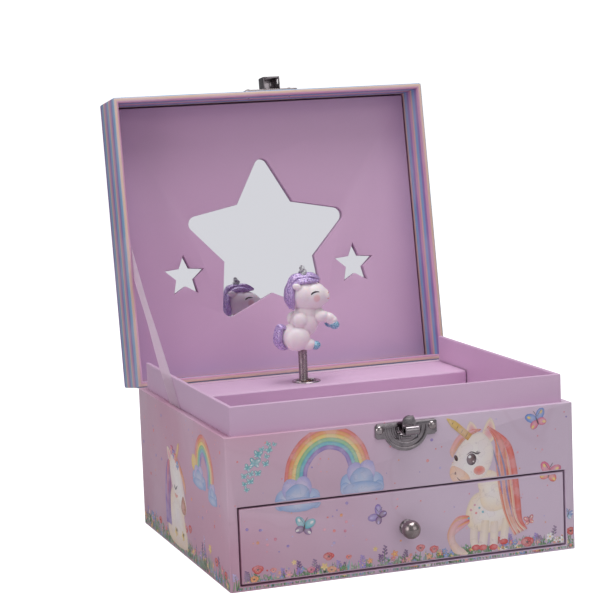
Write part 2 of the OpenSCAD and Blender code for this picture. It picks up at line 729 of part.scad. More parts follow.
module spindle_bracket() color("silver") difference() {
    translate([post_x - 5, post_y - 4.5, bracket_z]) cube([10, frame_y - post_y + 4.5, 1.5]);
    translate([post_x, post_y, bracket_z - 1]) cylinder(h = 4, r = bush_r - 0.8);
}

module spindle_bush() color("goldenrod") translate([post_x, post_y, bracket_z]) difference() {
    union() {
        cylinder(h = 1.5, r = bush_r - 0.8);
        translate([0, 0, 1.5]) cylinder(h = cover_top - 0.2 - bracket_z - 1.5, r = bush_r);
    }
    translate([0, 0, -1]) cylinder(h = 20, r = spindle_r + fit);
}

spindle_low = win_z + crown_r - pinion_len / 2 - 0.4;

module spindle() color("silver") translate([post_x, post_y, spindle_low])
    cylinder(h = cover_top + 3 - spindle_low, r = spindle_r);

module spindle_pinion() color("gold") translate([post_x, post_y, spindle_low + 0.4])
    linear_extrude(pinion_len) gear_outline(pinion_teeth, crown_mod, spindle_r, 90 + 180 / pinion_teeth);

// ---- Post spring and figure ----

module post_spring() color("silver") translate([post_x, post_y, cover_top]) difference() {
    cylinder(h = post_len + 3, r = post_r);
    translate([0, 0, -1]) cylinder(h = post_len + 5, r = spindle_r + 0.15);
}

module on_post() { translate([post_x, post_y, figure_z]) children(); }

module figure_ferrule() color("silver") on_post() difference() {
    translate([0, 0, 0.4]) cylinder(h = 4.6, r = post_r + 0.7);
    translate([0, 0, -1]) cylinder(h = 5, r = post_r + 0.05);
}

// Each ball is turned a little so that the seams of touching balls never meet
module ball(x, y, z, r) { translate([x, y, z]) rotate([90, 0, x * 9 + z * 5]) sphere(r = r, $fn = 40); }

// Seated foal facing +X, drawn about the post with its base at zero
module figure_shape() {
    ball(1.6, 0, 29, 7.9);                    // back of the head
    ball(7.4, 0, 29.2, 7.9);                  // face
    for (s = [-1, 1]) ball(-4.2, s * 4.6, 34, 1.9);
    ball(3, 0, 20, 6);                        // neck
    ball(3, 0, 14.6, 7.2);                    // chest
    ball(8, 0, 17.4, 5.4);
    ball(-3.2, 0, 7.6, 7.6);                  // haunches
    for (s = [-1, 1]) {
        ball(-3.2, s * 4, 6.6, 6.3);
        ball(2.8, s * 4.4, 4, 3.8);
        ball(11.4, s * 3.6, 17.4, 3.9);       // fore legs
        ball(14.8, s * 3.8, 15.6, 3.4);
    }
}

module hoof_shape() {
    for (s = [-1, 1]) {
        ball(17.2, s * 3.8, 13.2, 2.9);
        ball(5.8, s * 4.4, 2.9, 2.8);
    }
}

module figure_body() color("white") on_post() difference() {
    figure_shape();
    hoof_shape();
    translate([0, 0, -3]) cylinder(h = 8, r = post_r + 0.7);
}

module figure_hooves() color("skyblue") on_post() difference() {
    hoof_shape();
    translate([0, 0, -3]) cylinder(h = 8, r = post_r + 0.7);
}

// Roll of hair bent in an arc in the XZ plane: centre, radius of the bend, radius of the roll, angles
module roll(x, z, bend_r, r, low, high) { translate([x, 0, z]) rotate([90, 0, 0]) rotate([0, 0, low])
    rotate_extrude(angle = high - low) translate([bend_r, 0]) circle(r = r); }

module mane_roll() roll(1.8, 29.2, 9.2, 2.6, 42, 214);
module tail_roll() roll(-3.4, 7.8, 9.3, 2.7, 112, 218);

module figure_mane() color("mediumpurple") on_post() difference() {
    union() {
        mane_roll();
        tail_roll();
    }
    figure_shape();
}

module figure_horn() color("silver") on_post() difference() {
    translate([2, 0, 39.4]) rotate([0, -9, 0]) cylinder(h = 6.6, r1 = 2, r2 = 0.5);
    mane_roll();
}

case_shell();
shelf_board();
collar_liner();
music_cover();
cover_eyelet();
hinge_cloth_case();
hinge_cloth_lid();
ribbon_stay();
lid_shell();
panel_spacers();
mirror_panel();
star_mirror();
drawer_tray();
drawer_front();
drawer_knob();
knob_base();
knob_screw();
clasp_plate();
clasp_nails();
clasp_pin();
clasp_lever();
clasp_spring();
catch_plate();
catch_loop();
catch_nails();
movement_frame();
frame_screws();
spring_barrel();
barrel_cap();
crown_gear();
mainspring();
winding_arbor();
ratchet_wheel();
ratchet_click();
winding_key();
drum();
drum_arbor();
drum_pinion();
drum_gear();
comb();
comb_screws();
governor_frame();
governor_wheel();
fly_worm();
fly_blade();
spindle_bracket();
spindle_bush();
spindle();
spindle_pinion();
post_spring();
figure_ferrule();
figure_body();
figure_mane();
figure_horn();
figure_hooves();
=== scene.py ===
import math
import random

import bmesh
import bpy
from mathutils import Matrix, Vector
from mathutils.bvhtree import BVHTree
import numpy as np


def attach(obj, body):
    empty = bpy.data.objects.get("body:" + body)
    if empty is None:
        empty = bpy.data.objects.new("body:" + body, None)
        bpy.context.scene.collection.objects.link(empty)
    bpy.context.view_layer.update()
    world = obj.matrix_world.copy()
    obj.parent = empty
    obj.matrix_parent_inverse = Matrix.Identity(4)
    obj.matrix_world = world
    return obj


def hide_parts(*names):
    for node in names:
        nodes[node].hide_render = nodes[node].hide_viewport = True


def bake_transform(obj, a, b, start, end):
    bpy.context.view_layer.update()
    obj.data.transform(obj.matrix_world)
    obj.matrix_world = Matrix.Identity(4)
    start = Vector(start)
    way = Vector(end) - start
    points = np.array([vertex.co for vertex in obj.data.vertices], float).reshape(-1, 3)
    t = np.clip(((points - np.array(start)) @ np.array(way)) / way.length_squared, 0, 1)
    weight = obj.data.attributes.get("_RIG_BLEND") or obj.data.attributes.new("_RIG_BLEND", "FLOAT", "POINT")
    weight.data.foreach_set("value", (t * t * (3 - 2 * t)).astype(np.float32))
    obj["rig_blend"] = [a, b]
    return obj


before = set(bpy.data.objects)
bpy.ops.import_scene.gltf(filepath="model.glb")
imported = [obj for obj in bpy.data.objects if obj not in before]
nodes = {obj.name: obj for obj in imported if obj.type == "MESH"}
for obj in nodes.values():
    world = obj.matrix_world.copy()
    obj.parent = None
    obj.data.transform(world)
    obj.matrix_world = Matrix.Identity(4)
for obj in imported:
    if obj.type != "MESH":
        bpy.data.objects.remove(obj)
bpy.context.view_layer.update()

# lengths in the dictionaries are millimetres; the scene is in metres
mm = 0.001
box = {"w": 180, "d": 157.2, "h": 74, "lidH": 31.6, "openAngle": 98.8}
hinge = Vector((0, box["d"] / 2, box["h"]))
lean = math.radians(box["openAngle"])
# on the open lid: away from the hinge line, and from the rim plane towards the lid's top
lidUp = Vector((0, -math.cos(lean), math.sin(lean)))
lidOut = Vector((0, math.sin(lean), math.cos(lean)))
rng = random.Random(11)


# shader helpers

def srgb(r, g, b):
    return tuple((c / 255 / 12.92) if c < 11 else ((c / 255 + 0.055) / 1.055) ** 2.4 for c in (r, g, b))


def put(tree, kind, sockets=None, **props):
    node = tree.nodes.new("ShaderNode" + kind)
    for key, value in props.items():
        setattr(node, key, value)
    for key, value in (sockets or {}).items():
        if isinstance(value, bpy.types.NodeSocket):
            tree.links.new(value, node.inputs[key])
        elif isinstance(value, tuple) and node.inputs[key].type == "RGBA":
            node.inputs[key].default_value = (*value[:3], 1)
        else:
            node.inputs[key].default_value = value
    return node


def maths(tree, operation, a, b=0.0, c=None):
    node = put(tree, "Math", operation=operation)
    for index, value in enumerate((a, b, c)):
        if isinstance(value, bpy.types.NodeSocket):
            tree.links.new(value, node.inputs[index])
        elif value is not None:
            node.inputs[index].default_value = value
    return node.outputs[0]


def blendInk(tree, factor, a, b, mode="MIX"):
    node = put(tree, "Mix", data_type="RGBA", blend_type=mode, clamp_factor=True)
    for index, value in ((0, factor), (6, a), (7, b)):
        if isinstance(value, bpy.types.NodeSocket):
            tree.links.new(value, node.inputs[index])
        else:
            node.inputs[index].default_value = value if index == 0 else (*value, 1)
    return node.outputs[2]


def ramp(tree, factor, stops, interpolation="LINEAR"):
    node = put(tree, "ValToRGB", {"Fac": factor})
    node.color_ramp.interpolation = interpolation
    while len(node.color_ramp.elements) < len(stops):
        node.color_ramp.elements.new(0.5)
    for element, (position, value) in zip(node.color_ramp.elements, stops):
        element.position = position
        element.color = (*value, 1) if isinstance(value, tuple) else (value, value, value, 1)
    return node.outputs["Color"]


def makeGroup(name, inputs, outputs, build):
    tree = bpy.data.node_groups.new(name, "ShaderNodeTree")
    for label, kind, value in inputs:
        socket = tree.interface.new_socket(label, in_out="INPUT", socket_type="NodeSocket" + kind)
        if value is not None:
            socket.default_value = value
    for label, kind in outputs:
        tree.interface.new_socket(label, in_out="OUTPUT", socket_type="NodeSocket" + kind)
    start, end = tree.nodes.new("NodeGroupInput"), tree.nodes.new("NodeGroupOutput")
    for label, socket in build(tree, start.outputs).items():
        tree.links.new(socket, end.inputs[label])
    return tree


def use(tree, group, sockets):
    node = put(tree, "Group")
    node.node_tree = group
    for key, value in sockets.items():
        if isinstance(value, bpy.types.NodeSocket):
            tree.links.new(value, node.inputs[key])
        else:
            node.inputs[key].default_value = value
    return node.outputs


# shared effects

def buildWash(tree, given):
    # watercolour: broad pale pools, thin rims where a pool dried, and pigment grain
    warp = put(tree, "TexNoise", {"Vector": given["Vector"], "Scale": 30.0, "Detail": 3.0}).outputs["Color"]
    shifted = put(tree, "VectorMath", {0: given["Vector"]}, operation="ADD")
    scaled = put(tree, "VectorMath", {0: warp}, operation="SCALE")
    scaled.inputs["Scale"].default_value = 0.006
    tree.links.new(scaled.outputs[0], shifted.inputs[1])
    pool = put(tree, "TexNoise", {"Vector": shifted.outputs[0], "Scale": given["Scale"], "Detail": 2.0,
                                  "Roughness": 0.45}).outputs["Fac"]
    pale = put(tree, "MapRange", {"Value": pool, "From Min": 0.36, "From Max": 0.66},
               interpolation_type="SMOOTHSTEP").outputs["Result"]
    away = maths(tree, "ABSOLUTE", maths(tree, "SUBTRACT", pool, 0.53))
    rim = put(tree, "MapRange", {"Value": away, "From Min": 0.0, "From Max": 0.016, "To Min": 1.0,
                                 "To Max": 0.0},
              interpolation_type="SMOOTHSTEP").outputs["Result"]
    grain = put(tree, "TexNoise", {"Vector": given["Vector"], "Scale": 1900.0, "Detail": 3.0}).outputs["Fac"]
    return {"Pale": pale, "Rim": rim, "Grain": grain}


wash = makeGroup("watercolourWash", [("Vector", "Vector", None), ("Scale", "Float", 18.0)],
                 [("Pale", "Float"), ("Rim", "Float"), ("Grain", "Float")], buildWash)


def buildPaper(tree, given):
    # coated paper over board: faint fibre tooth, slow waviness from the glue, and finger smudges
    tooth = put(tree, "TexNoise", {"Vector": given["Vector"], "Scale": 2600.0, "Detail": 4.0,
                                   "Roughness": 0.6}).outputs["Fac"]
    fibre = put(tree, "TexNoise", {"Vector": given["Vector"], "Scale": 700.0, "Detail": 2.0,
                                   "Distortion": 1.5}).outputs["Fac"]
    wave = put(tree, "TexNoise", {"Vector": given["Vector"], "Scale": 26.0, "Detail": 1.0}).outputs["Fac"]
    height = maths(tree, "ADD", maths(tree, "MULTIPLY", tooth, 0.5),
                   maths(tree, "ADD", maths(tree, "MULTIPLY", fibre, 0.35),
                         maths(tree, "MULTIPLY", wave, 3.0)))
    smudge = put(tree, "TexNoise", {"Vector": given["Vector"], "Scale": 55.0, "Detail": 4.0,
                                    "Roughness": 0.7}).outputs["Fac"]
    rough = put(tree, "MapRange", {"Value": smudge, "From Min": 0.3, "From Max": 0.7, "To Min": -0.06,
                                   "To Max": 0.08}).outputs["Result"]
    bump = put(tree, "Bump", {"Height": height, "Strength": given["Relief"], "Distance": 0.00012})
    return {"Normal": bump.outputs["Normal"], "Rough": rough}


paper = makeGroup("coatedPaper", [("Vector", "Vector", None), ("Relief", "Float", 0.35)],
                  [("Normal", "Vector"), ("Rough", "Float")], buildPaper)


def buildMetal(tree, given):
    # plated metal: fine polishing marks, soft pits, and dull handling marks
    stretched = put(tree, "VectorMath", {0: given["Vector"]}, operation="MULTIPLY")
    stretched.inputs[1].default_value = (1, 1, 14)
    lines = put(tree, "TexNoise", {"Vector": stretched.outputs[0], "Scale": 420.0, "Detail": 5.0,
                                   "Roughness": 0.7}).outputs["Fac"]
    dull = put(tree, "TexNoise", {"Vector": given["Vector"], "Scale": 240.0, "Detail": 4.0}).outputs["Fac"]
    rough = put(tree, "MapRange", {"Value": dull, "From Min": 0.35, "From Max": 0.7, "To Min": -0.04,
                                   "To Max": 0.14}).outputs["Result"]
    pits = put(tree, "TexVoronoi", {"Vector": given["Vector"], "Scale": 900.0}).outputs["Distance"]
    height = maths(tree, "ADD", maths(tree, "MULTIPLY", lines, 0.5), maths(tree, "MULTIPLY", pits, 0.2))
    bump = put(tree, "Bump", {"Height": height, "Strength": given["Relief"], "Distance": 0.00004})
    tarnish = put(tree, "MapRange", {"Value": dull, "From Min": 0.45, "From Max": 0.75},
                  interpolation_type="SMOOTHSTEP").outputs["Result"]
    return {"Normal": bump.outputs["Normal"], "Rough": rough, "Tarnish": tarnish}


metal = makeGroup("platedMetal", [("Vector", "Vector", None), ("Relief", "Float", 0.4)],
                  [("Normal", "Vector"), ("Rough", "Float"), ("Tarnish", "Float")], buildMetal)


def buildGlitter(tree, given):
    # flakes set in lacquer: each cell has its own tilt and shade
    cells = put(tree, "TexVoronoi", {"Vector": given["Vector"], "Scale": given["Scale"]})
    tilt = put(tree, "VectorMath", {0: cells.outputs["Color"]}, operation="SUBTRACT")
    tilt.inputs[1].default_value = (0.5, 0.5, 0.5)
    amount = put(tree, "VectorMath", {0: tilt.outputs[0]}, operation="SCALE")
    amount.inputs["Scale"].default_value = 1.1
    shape = put(tree, "NewGeometry").outputs["Normal"]
    leaned = put(tree, "VectorMath", {0: shape, 1: amount.outputs[0]}, operation="ADD")
    normal = put(tree, "VectorMath", {0: leaned.outputs[0]}, operation="NORMALIZE").outputs[0]
    shade = put(tree, "SeparateColor", {"Color": cells.outputs["Color"]}).outputs[0]
    return {"Normal": normal, "Shade": shade}


glitter = makeGroup("glitterFlakes", [("Vector", "Vector", None), ("Scale", "Float", 2600.0)],
                    [("Normal", "Vector"), ("Shade", "Float")], buildGlitter)


# materials

def material(name):
    made = bpy.data.materials.new(name)
    made.use_nodes = True
    tree = made.node_tree
    tree.nodes.clear()
    output = tree.nodes.new("ShaderNodeOutputMaterial")
    here = put(tree, "TexCoord").outputs["Object"]
    return made, tree, output, here


def principled(tree, output, colour, **sockets):
    given = {"Base Color": colour}
    given.update({key.replace("_", " "): value for key, value in sockets.items()})
    shader = put(tree, "BsdfPrincipled", given)
    tree.links.new(shader.outputs[0], output.inputs["Surface"])
    return shader


def paperMaterial(name, pink, lilac, low, high, axis="X", roughness=0.46, relief=0.35, specks=0.0,
                  mottle=1.0):
    # printed or plain paper whose tint drifts from pink to lilac along one axis
    made, tree, output, here = material(name)
    split = put(tree, "SeparateXYZ", {"Vector": here}).outputs[axis]
    drift = put(tree, "MapRange", {"Value": split, "From Min": low * mm, "From Max": high * mm},
                interpolation_type="SMOOTHSTEP").outputs["Result"]
    pools = use(tree, wash, {"Vector": here, "Scale": 15.0})
    base = blendInk(tree, drift, pink, lilac)
    pale = tuple(c + (1 - c) * 0.22 for c in lilac)
    base = blendInk(tree, maths(tree, "MULTIPLY", pools["Pale"], 0.42 * mottle), base, pale)
    base = blendInk(tree, maths(tree, "MULTIPLY", pools["Rim"], 0.10 * mottle ** 3), base,
                    tuple(c * 0.8 for c in pink))
    base = blendInk(tree, maths(tree, "MULTIPLY", pools["Grain"], 0.10), base, (0.3, 0.2, 0.3))
    if specks:
        cells = put(tree, "TexVoronoi", {"Vector": here, "Scale": 210.0, "Randomness": 1.0})
        dot = put(tree, "MapRange", {"Value": cells.outputs["Distance"], "From Min": 0.07, "From Max": 0.11,
                                     "To Min": 1.0, "To Max": 0.0}).outputs["Result"]
        pick = put(tree, "SeparateColor", {"Color": cells.outputs["Color"]})
        some = maths(tree, "GREATER_THAN", pick.outputs[0], 0.80)
        tint = ramp(tree, pick.outputs[1], [(0.0, srgb(176, 140, 206)), (0.35, srgb(232, 138, 150)),
                                            (0.6, srgb(240, 176, 140)), (0.85, srgb(150, 150, 214))],
                    "CONSTANT")
        base = blendInk(tree, maths(tree, "MULTIPLY", maths(tree, "MULTIPLY", dot, some), specks), base, tint)
    skin = use(tree, paper, {"Vector": here, "Relief": relief})
    principled(tree, output, base, Roughness=maths(tree, "ADD", skin["Rough"], roughness),
               Normal=skin["Normal"],
               Specular_IOR_Level=0.42, Coat_Weight=0.06, Coat_Roughness=0.35)
    return made


paperTones = {
    "case": {"pink": srgb(214, 168, 190), "lilac": srgb(222, 198, 220)},
    "liner": {"pink": srgb(216, 182, 211), "lilac": srgb(224, 188, 218)},
    "panel": {"pink": srgb(214, 172, 206), "lilac": srgb(219, 182, 212)},
    "plain": {"pink": srgb(214, 178, 206), "lilac": srgb(218, 184, 212)},
}
printedPaper = paperMaterial("printedPaper", paperTones["case"]["pink"], paperTones["case"]["lilac"], -95, 30,
                             specks=0.75)
linerPaper = paperMaterial("linerPaper", paperTones["liner"]["pink"], paperTones["liner"]["lilac"], -80, 80,
                           roughness=0.5, relief=0.25, mottle=0.3)
panelPaper = paperMaterial("panelPaper", paperTones["panel"]["pink"], paperTones["panel"]["lilac"], -80, 80,
                           roughness=0.5, relief=0.2, mottle=0.2)
plainPaper = paperMaterial("plainPaper", paperTones["plain"]["pink"], paperTones["plain"]["lilac"], -80, 80,
                           roughness=0.58, relief=0.5, mottle=0.3)


def stripedMaterial():
    # soft parallel stripes; the attribute holds the distance from the rim's outer edge
    made, tree, output, here = material("stripedPaper")
    run = put(tree, "Attribute", attribute_name="run").outputs["Fac"]
    soft = put(tree, "TexNoise", {"Vector": here, "Scale": 60.0, "Detail": 2.0}).outputs["Fac"]
    place = maths(tree, "ADD", maths(tree, "MULTIPLY", run, 1 / 11.8), maths(tree, "MULTIPLY", soft, 0.06))
    phase = maths(tree, "FRACT", place)
    peach, sky, violet, pink = srgb(228, 196, 176), srgb(136, 178, 214), srgb(150, 128, 190), srgb(214, 156,
                                                                                                   188)
    colour = ramp(tree, phase, [(0.0, peach), (0.06, sky), (0.3, sky), (0.4, violet), (0.54, violet),
                                (0.64, pink),
                                (0.82, pink), (0.9, peach), (1.0, peach)])
    pools = use(tree, wash, {"Vector": here, "Scale": 40.0})
    colour = blendInk(tree, maths(tree, "MULTIPLY", pools["Pale"], 0.22), colour, srgb(226, 204, 222))
    colour = blendInk(tree, maths(tree, "MULTIPLY", pools["Grain"], 0.12), colour, (0.3, 0.25, 0.35))
    skin = use(tree, paper, {"Vector": here, "Relief": 0.3})
    principled(tree, output, colour, Roughness=maths(tree, "ADD", skin["Rough"], 0.46), Normal=skin["Normal"],
               Specular_IOR_Level=0.42)
    return made


stripedPaper = stripedMaterial()


def inkMaterial():
    # printed art: each plate's own colour, mottled the way watercolour dries
    made, tree, output, here = material("printedInk")
    own = put(tree, "Attribute", attribute_name="ink").outputs["Color"]
    pools = use(tree, wash, {"Vector": here, "Scale": 210.0})
    colour = blendInk(tree, maths(tree, "MULTIPLY", pools["Pale"], 0.26), own, srgb(244, 226, 236))
    dark = blendInk(tree, 1.0, colour, (0.62, 0.56, 0.62), "MULTIPLY")
    colour = blendInk(tree, maths(tree, "MULTIPLY", pools["Rim"], 0.32), colour, dark)
    colour = blendInk(tree, maths(tree, "MULTIPLY", pools["Grain"], 0.16), colour, dark)
    skin = use(tree, paper, {"Vector": here, "Relief": 0.3})
    principled(tree, output, colour, Roughness=maths(tree, "ADD", skin["Rough"], 0.44), Normal=skin["Normal"],
               Specular_IOR_Level=0.42)
    return made


printedInk = inkMaterial()


def metalMaterial(name, colour, worn, roughness, relief=0.4, coat=0.0):
    made, tree, output, here = material(name)
    skin = use(tree, metal, {"Vector": here, "Relief": relief})
    tone = blendInk(tree, maths(tree, "MULTIPLY", skin["Tarnish"], 0.6), colour, worn)
    principled(tree, output, tone, Metallic=1.0, Roughness=maths(tree, "ADD", skin["Rough"], roughness),
               Normal=skin["Normal"], Coat_Weight=coat, Coat_Roughness=0.15)
    return made


metals = {
    "nickel": metalMaterial("nickel", srgb(184, 174, 176), srgb(138, 126, 126), 0.2),
    "darkNickel": metalMaterial("darkNickel", srgb(158, 150, 154), srgb(104, 96, 102), 0.16, 0.12),
    "steel": metalMaterial("steel", srgb(176, 178, 184), srgb(120, 118, 122), 0.3, 0.8),
    "brass": metalMaterial("brass", srgb(214, 176, 104), srgb(150, 112, 58), 0.26, 0.7),
    "springWire": metalMaterial("springWire", srgb(190, 178, 180), srgb(150, 136, 136), 0.2, 0.03),
    "knobNickel": metalMaterial("knobNickel", srgb(164, 152, 152), srgb(120, 108, 108), 0.22, 0.15),
    "castMetal": metalMaterial("castMetal", srgb(168, 168, 172), srgb(112, 112, 118), 0.42, 1.0),
}


def mirrorMaterial():
    made, tree, output, here = material("silveredMirror")
    haze = put(tree, "TexNoise",
               {"Vector": here, "Scale": 70.0, "Detail": 5.0, "Roughness": 0.65}).outputs["Fac"]
    wiped = put(tree, "MapRange", {"Value": haze, "From Min": 0.5, "From Max": 0.8, "To Min": 0.015,
                                   "To Max": 0.09}).outputs["Result"]
    dust = put(tree, "TexVoronoi", {"Vector": here, "Scale": 420.0}).outputs["Distance"]
    grit = put(tree, "MapRange", {"Value": dust, "From Min": 0.02, "From Max": 0.05, "To Min": 0.35,
                                  "To Max": 0.0}).outputs["Result"]
    colour = blendInk(tree, maths(tree, "MULTIPLY", grit, 0.5), srgb(206, 206, 211), srgb(180, 176, 186))
    principled(tree, output, colour, Metallic=1.0,
               Roughness=maths(tree, "ADD", wiped, maths(tree, "MULTIPLY", grit, 0.3)))
    return made


silveredMirror = mirrorMaterial()


def resinMaterial():
    # cast resin: off white with painted shade darkening the creases, and a painted cheek
    made, tree, output, here = material("castResin")
    crease = put(tree, "Attribute", attribute_name="crease").outputs["Fac"]
    blush = put(tree, "Attribute", attribute_name="blush").outputs["Fac"]
    cloud = put(tree, "TexNoise", {"Vector": here, "Scale": 240.0, "Detail": 4.0}).outputs["Fac"]
    tone = blendInk(tree, maths(tree, "MULTIPLY", cloud, 0.5), srgb(250, 240, 240), srgb(244, 226, 238))
    # painted shade: the creases are darkened towards a dusky mauve
    tone = blendInk(tree, maths(tree, "MULTIPLY", crease, 0.8), tone, srgb(198, 158, 172))
    tone = blendInk(tree, maths(tree, "MULTIPLY", blush, 0.8), tone, srgb(240, 158, 150))
    fine = put(tree, "TexNoise", {"Vector": here, "Scale": 2600.0, "Detail": 3.0}).outputs["Fac"]
    bump = put(tree, "Bump", {"Height": fine, "Strength": 0.15, "Distance": 0.00008}).outputs["Normal"]
    rough = put(tree, "MapRange", {"Value": cloud, "To Min": 0.34, "To Max": 0.5}).outputs["Result"]
    principled(tree, output, tone, Roughness=rough, Normal=bump, Subsurface_Weight=0.18,
               Subsurface_Scale=0.0012,
               Coat_Weight=0.12, Coat_Roughness=0.3)
    return made


def glitterMaterial(name, deep, light, shine, scale=2500.0):
    made, tree, output, here = material(name)
    flakes = use(tree, glitter, {"Vector": here, "Scale": scale})
    # painted glints: each flake's random value picks a deep, light or near-white shine colour, as if some
    # flakes caught the light
    tone = ramp(tree, flakes["Shade"], [(0.0, deep), (0.45, light), (0.8, shine), (1.0, light)])
    rough = put(tree, "MapRange", {"Value": flakes["Shade"], "To Min": 0.22, "To Max": 0.6}).outputs["Result"]
    principled(tree, output, tone, Roughness=rough, Normal=flakes["Normal"], Metallic=0.25, Coat_Weight=0.5,
               Coat_Roughness=0.12)
    return made


castResin = resinMaterial()
lilacGlitter = glitterMaterial("lilacGlitter", srgb(150, 118, 190), srgb(196, 170, 226), srgb(232, 206, 240))
blueGlitter = glitterMaterial("blueGlitter", srgb(84, 148, 184), srgb(134, 196, 222), srgb(206, 226, 240))
silverPaint = glitterMaterial("silverPaint", srgb(120, 118, 126), srgb(176, 174, 180), srgb(232, 232, 236),
                              5200.0)


def plainPaint(name, colour, worn, roughness):
    made, tree, output, here = material(name)
    cloud = put(tree, "TexNoise", {"Vector": here, "Scale": 900.0, "Detail": 4.0}).outputs["Fac"]
    tone = blendInk(tree, maths(tree, "MULTIPLY", cloud, 0.5), colour, worn)
    bump = put(tree, "Bump", {"Height": cloud, "Strength": 0.2, "Distance": 0.00005}).outputs["Normal"]
    rough = put(tree, "MapRange",
                {"Value": cloud, "To Min": roughness - 0.08, "To Max": roughness + 0.1}).outputs["Result"]
    principled(tree, output, tone, Roughness=rough, Normal=bump)
    return made


eyePaint = plainPaint("eyePaint", srgb(44, 32, 38), srgb(70, 56, 62), 0.3)
mouthPaint = plainPaint("mouthPaint", srgb(224, 140, 130), srgb(236, 170, 156), 0.4)


def wovenMaterial(name, colour, shade, ridge, roughness, sheen, through=0.0):
    # woven cloth in its own UV: fine ribs along one way, looser crossing threads
    made, tree, output, here = material(name)
    way = put(tree, "UVMap", uv_map="weave").outputs["UV"]
    ribs = put(tree, "TexWave", {"Vector": way, "Scale": ridge, "Distortion": 0.6, "Detail": 2.0},
               wave_type="BANDS", bands_direction="Y").outputs["Fac"]
    cross = put(tree, "TexWave", {"Vector": way, "Scale": ridge * 0.6, "Distortion": 1.0, "Detail": 1.0},
                wave_type="BANDS", bands_direction="X").outputs["Fac"]
    height = maths(tree, "ADD", maths(tree, "MULTIPLY", ribs, 0.7), maths(tree, "MULTIPLY", cross, 0.3))
    uneven = put(tree, "TexNoise", {"Vector": here, "Scale": 300.0, "Detail": 3.0}).outputs["Fac"]
    # painted shade: the low parts of the weave take the darker shade colour; the noise below adds uneven tone
    tone = blendInk(tree, maths(tree, "MULTIPLY", height, 0.5), shade, colour)
    tone = blendInk(tree, maths(tree, "MULTIPLY", uneven, 0.3), tone, shade)
    bump = put(tree, "Bump", {"Height": height, "Strength": 0.4, "Distance": 0.00006}).outputs["Normal"]
    shader = principled(tree, output, tone, Roughness=roughness, Normal=bump, Sheen_Weight=sheen,
                        Sheen_Roughness=0.3, Specular_IOR_Level=0.6)
    if through:
        glow = put(tree, "BsdfTranslucent", {"Color": tone, "Normal": bump})
        both = put(tree, "MixShader", {0: through, 1: shader.outputs[0], 2: glow.outputs[0]})
        tree.links.new(both.outputs[0], output.inputs["Surface"])
    return made


satin = wovenMaterial("satinRibbon", srgb(255, 252, 254), srgb(250, 236, 246), 26.0, 0.3, 0.6, 0.5)
bookCloth = wovenMaterial("bookCloth", srgb(208, 170, 200), srgb(168, 126, 160), 60.0, 0.72, 0.2)
print("materials ready")


# geometry helpers

def finishObject(name, bm, body=None, materials=(), smooth=True, crease=None):
    bmesh.ops.recalc_face_normals(bm, faces=bm.faces)
    mesh = bpy.data.meshes.new(name)
    for face in bm.faces:
        face.smooth = smooth
    bm.to_mesh(mesh)
    bm.free()
    obj = bpy.data.objects.new(name, mesh)
    bpy.context.scene.collection.objects.link(obj)
    for made in materials:
        mesh.materials.append(made)
    if smooth and crease:
        mesh.set_sharp_from_angle(angle=math.radians(crease))
    if body:
        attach(obj, body)
    return obj


def cadCopy(node):
    bm = bmesh.new()
    bm.from_mesh(nodes[node].data)
    bmesh.ops.remove_doubles(bm, verts=bm.verts, dist=2e-6)
    bmesh.ops.dissolve_limit(bm, angle_limit=math.radians(0.6), verts=bm.verts, edges=bm.edges)
    return bm


def sharpEdges(bm, test, angle=50):
    picked = []
    for edge in bm.edges:
        if len(edge.link_faces) == 2 and edge.calc_face_angle(0) > math.radians(angle):
            if test(edge.verts[0].co / mm, edge.verts[1].co / mm):
                picked.append(edge)
    return picked


def roundEdges(bm, edges, amount, segments=3):
    if edges:
        bmesh.ops.bevel(bm, geom=edges, offset=amount * mm, segments=segments, profile=0.5, affect="EDGES",
                        clamp_overlap=True, material=-1)


def softBoard(name, node, body, steps, made):
    # a board or box: its own CAD copy with worn, rounded edges
    bm = cadCopy(node)
    for test, amount in steps:
        roundEdges(bm, sharpEdges(bm, test), amount)
    obj = finishObject(name, bm, body, [made], crease=40)
    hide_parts(node)
    return obj


def lathe(name, profile, centre, axis, segments=64):
    # profile points are (radius, height) from one end of the axis to the other
    bm = bmesh.new()
    turn = Vector((0, 0, 1)).rotation_difference(Vector(axis)).to_matrix()
    centre = Vector(centre) * mm
    verts = [bm.verts.new(centre + turn @ Vector((r * mm, 0, h * mm))) for r, h in profile]
    edges = [bm.edges.new(pair) for pair in zip(verts, verts[1:])]
    bmesh.ops.spin(bm, geom=verts + edges, cent=centre, axis=Vector(axis), angle=math.tau, steps=segments)
    bmesh.ops.remove_doubles(bm, verts=bm.verts, dist=1e-6)
    return bm


def joinMesh(bm, other):
    mesh = bpy.data.meshes.new("join")
    other.to_mesh(mesh)
    other.free()
    bm.from_mesh(mesh)
    bpy.data.meshes.remove(mesh)


def block(bm, x0, x1, y0, y1, z0, z1, amount=0.0):
    made = bmesh.ops.create_cube(bm, size=1)["verts"]
    for vert in made:
        vert.co = Vector((x0 if vert.co.x < 0 else x1, y0 if vert.co.y < 0 else y1,
                          z0 if vert.co.z < 0 else z1)) * mm
    if amount:
        edges = list({edge for vert in made for edge in vert.link_edges})
        roundEdges(bm, edges, amount, 2)


def plate(bm, outline, origin, right, up, depth, amount):
    # flat shape of (u, v) points standing out from origin along right x up, with a rounded front edge
    out = Vector(right).cross(Vector(up)) * depth * mm
    verts = [bm.verts.new((Vector(origin) + Vector(right) * u + Vector(up) * v) * mm) for u, v in outline]
    back = bm.faces.new(verts)
    made = bmesh.ops.extrude_face_region(bm, geom=[back], use_keep_orig=True)["geom"]
    front = [item for item in made if isinstance(item, bmesh.types.BMVert)]
    bmesh.ops.translate(bm, verts=front, vec=out)
    face = next(item for item in made if isinstance(item, bmesh.types.BMFace))
    if amount:
        roundEdges(bm, list(face.edges), amount, 2)


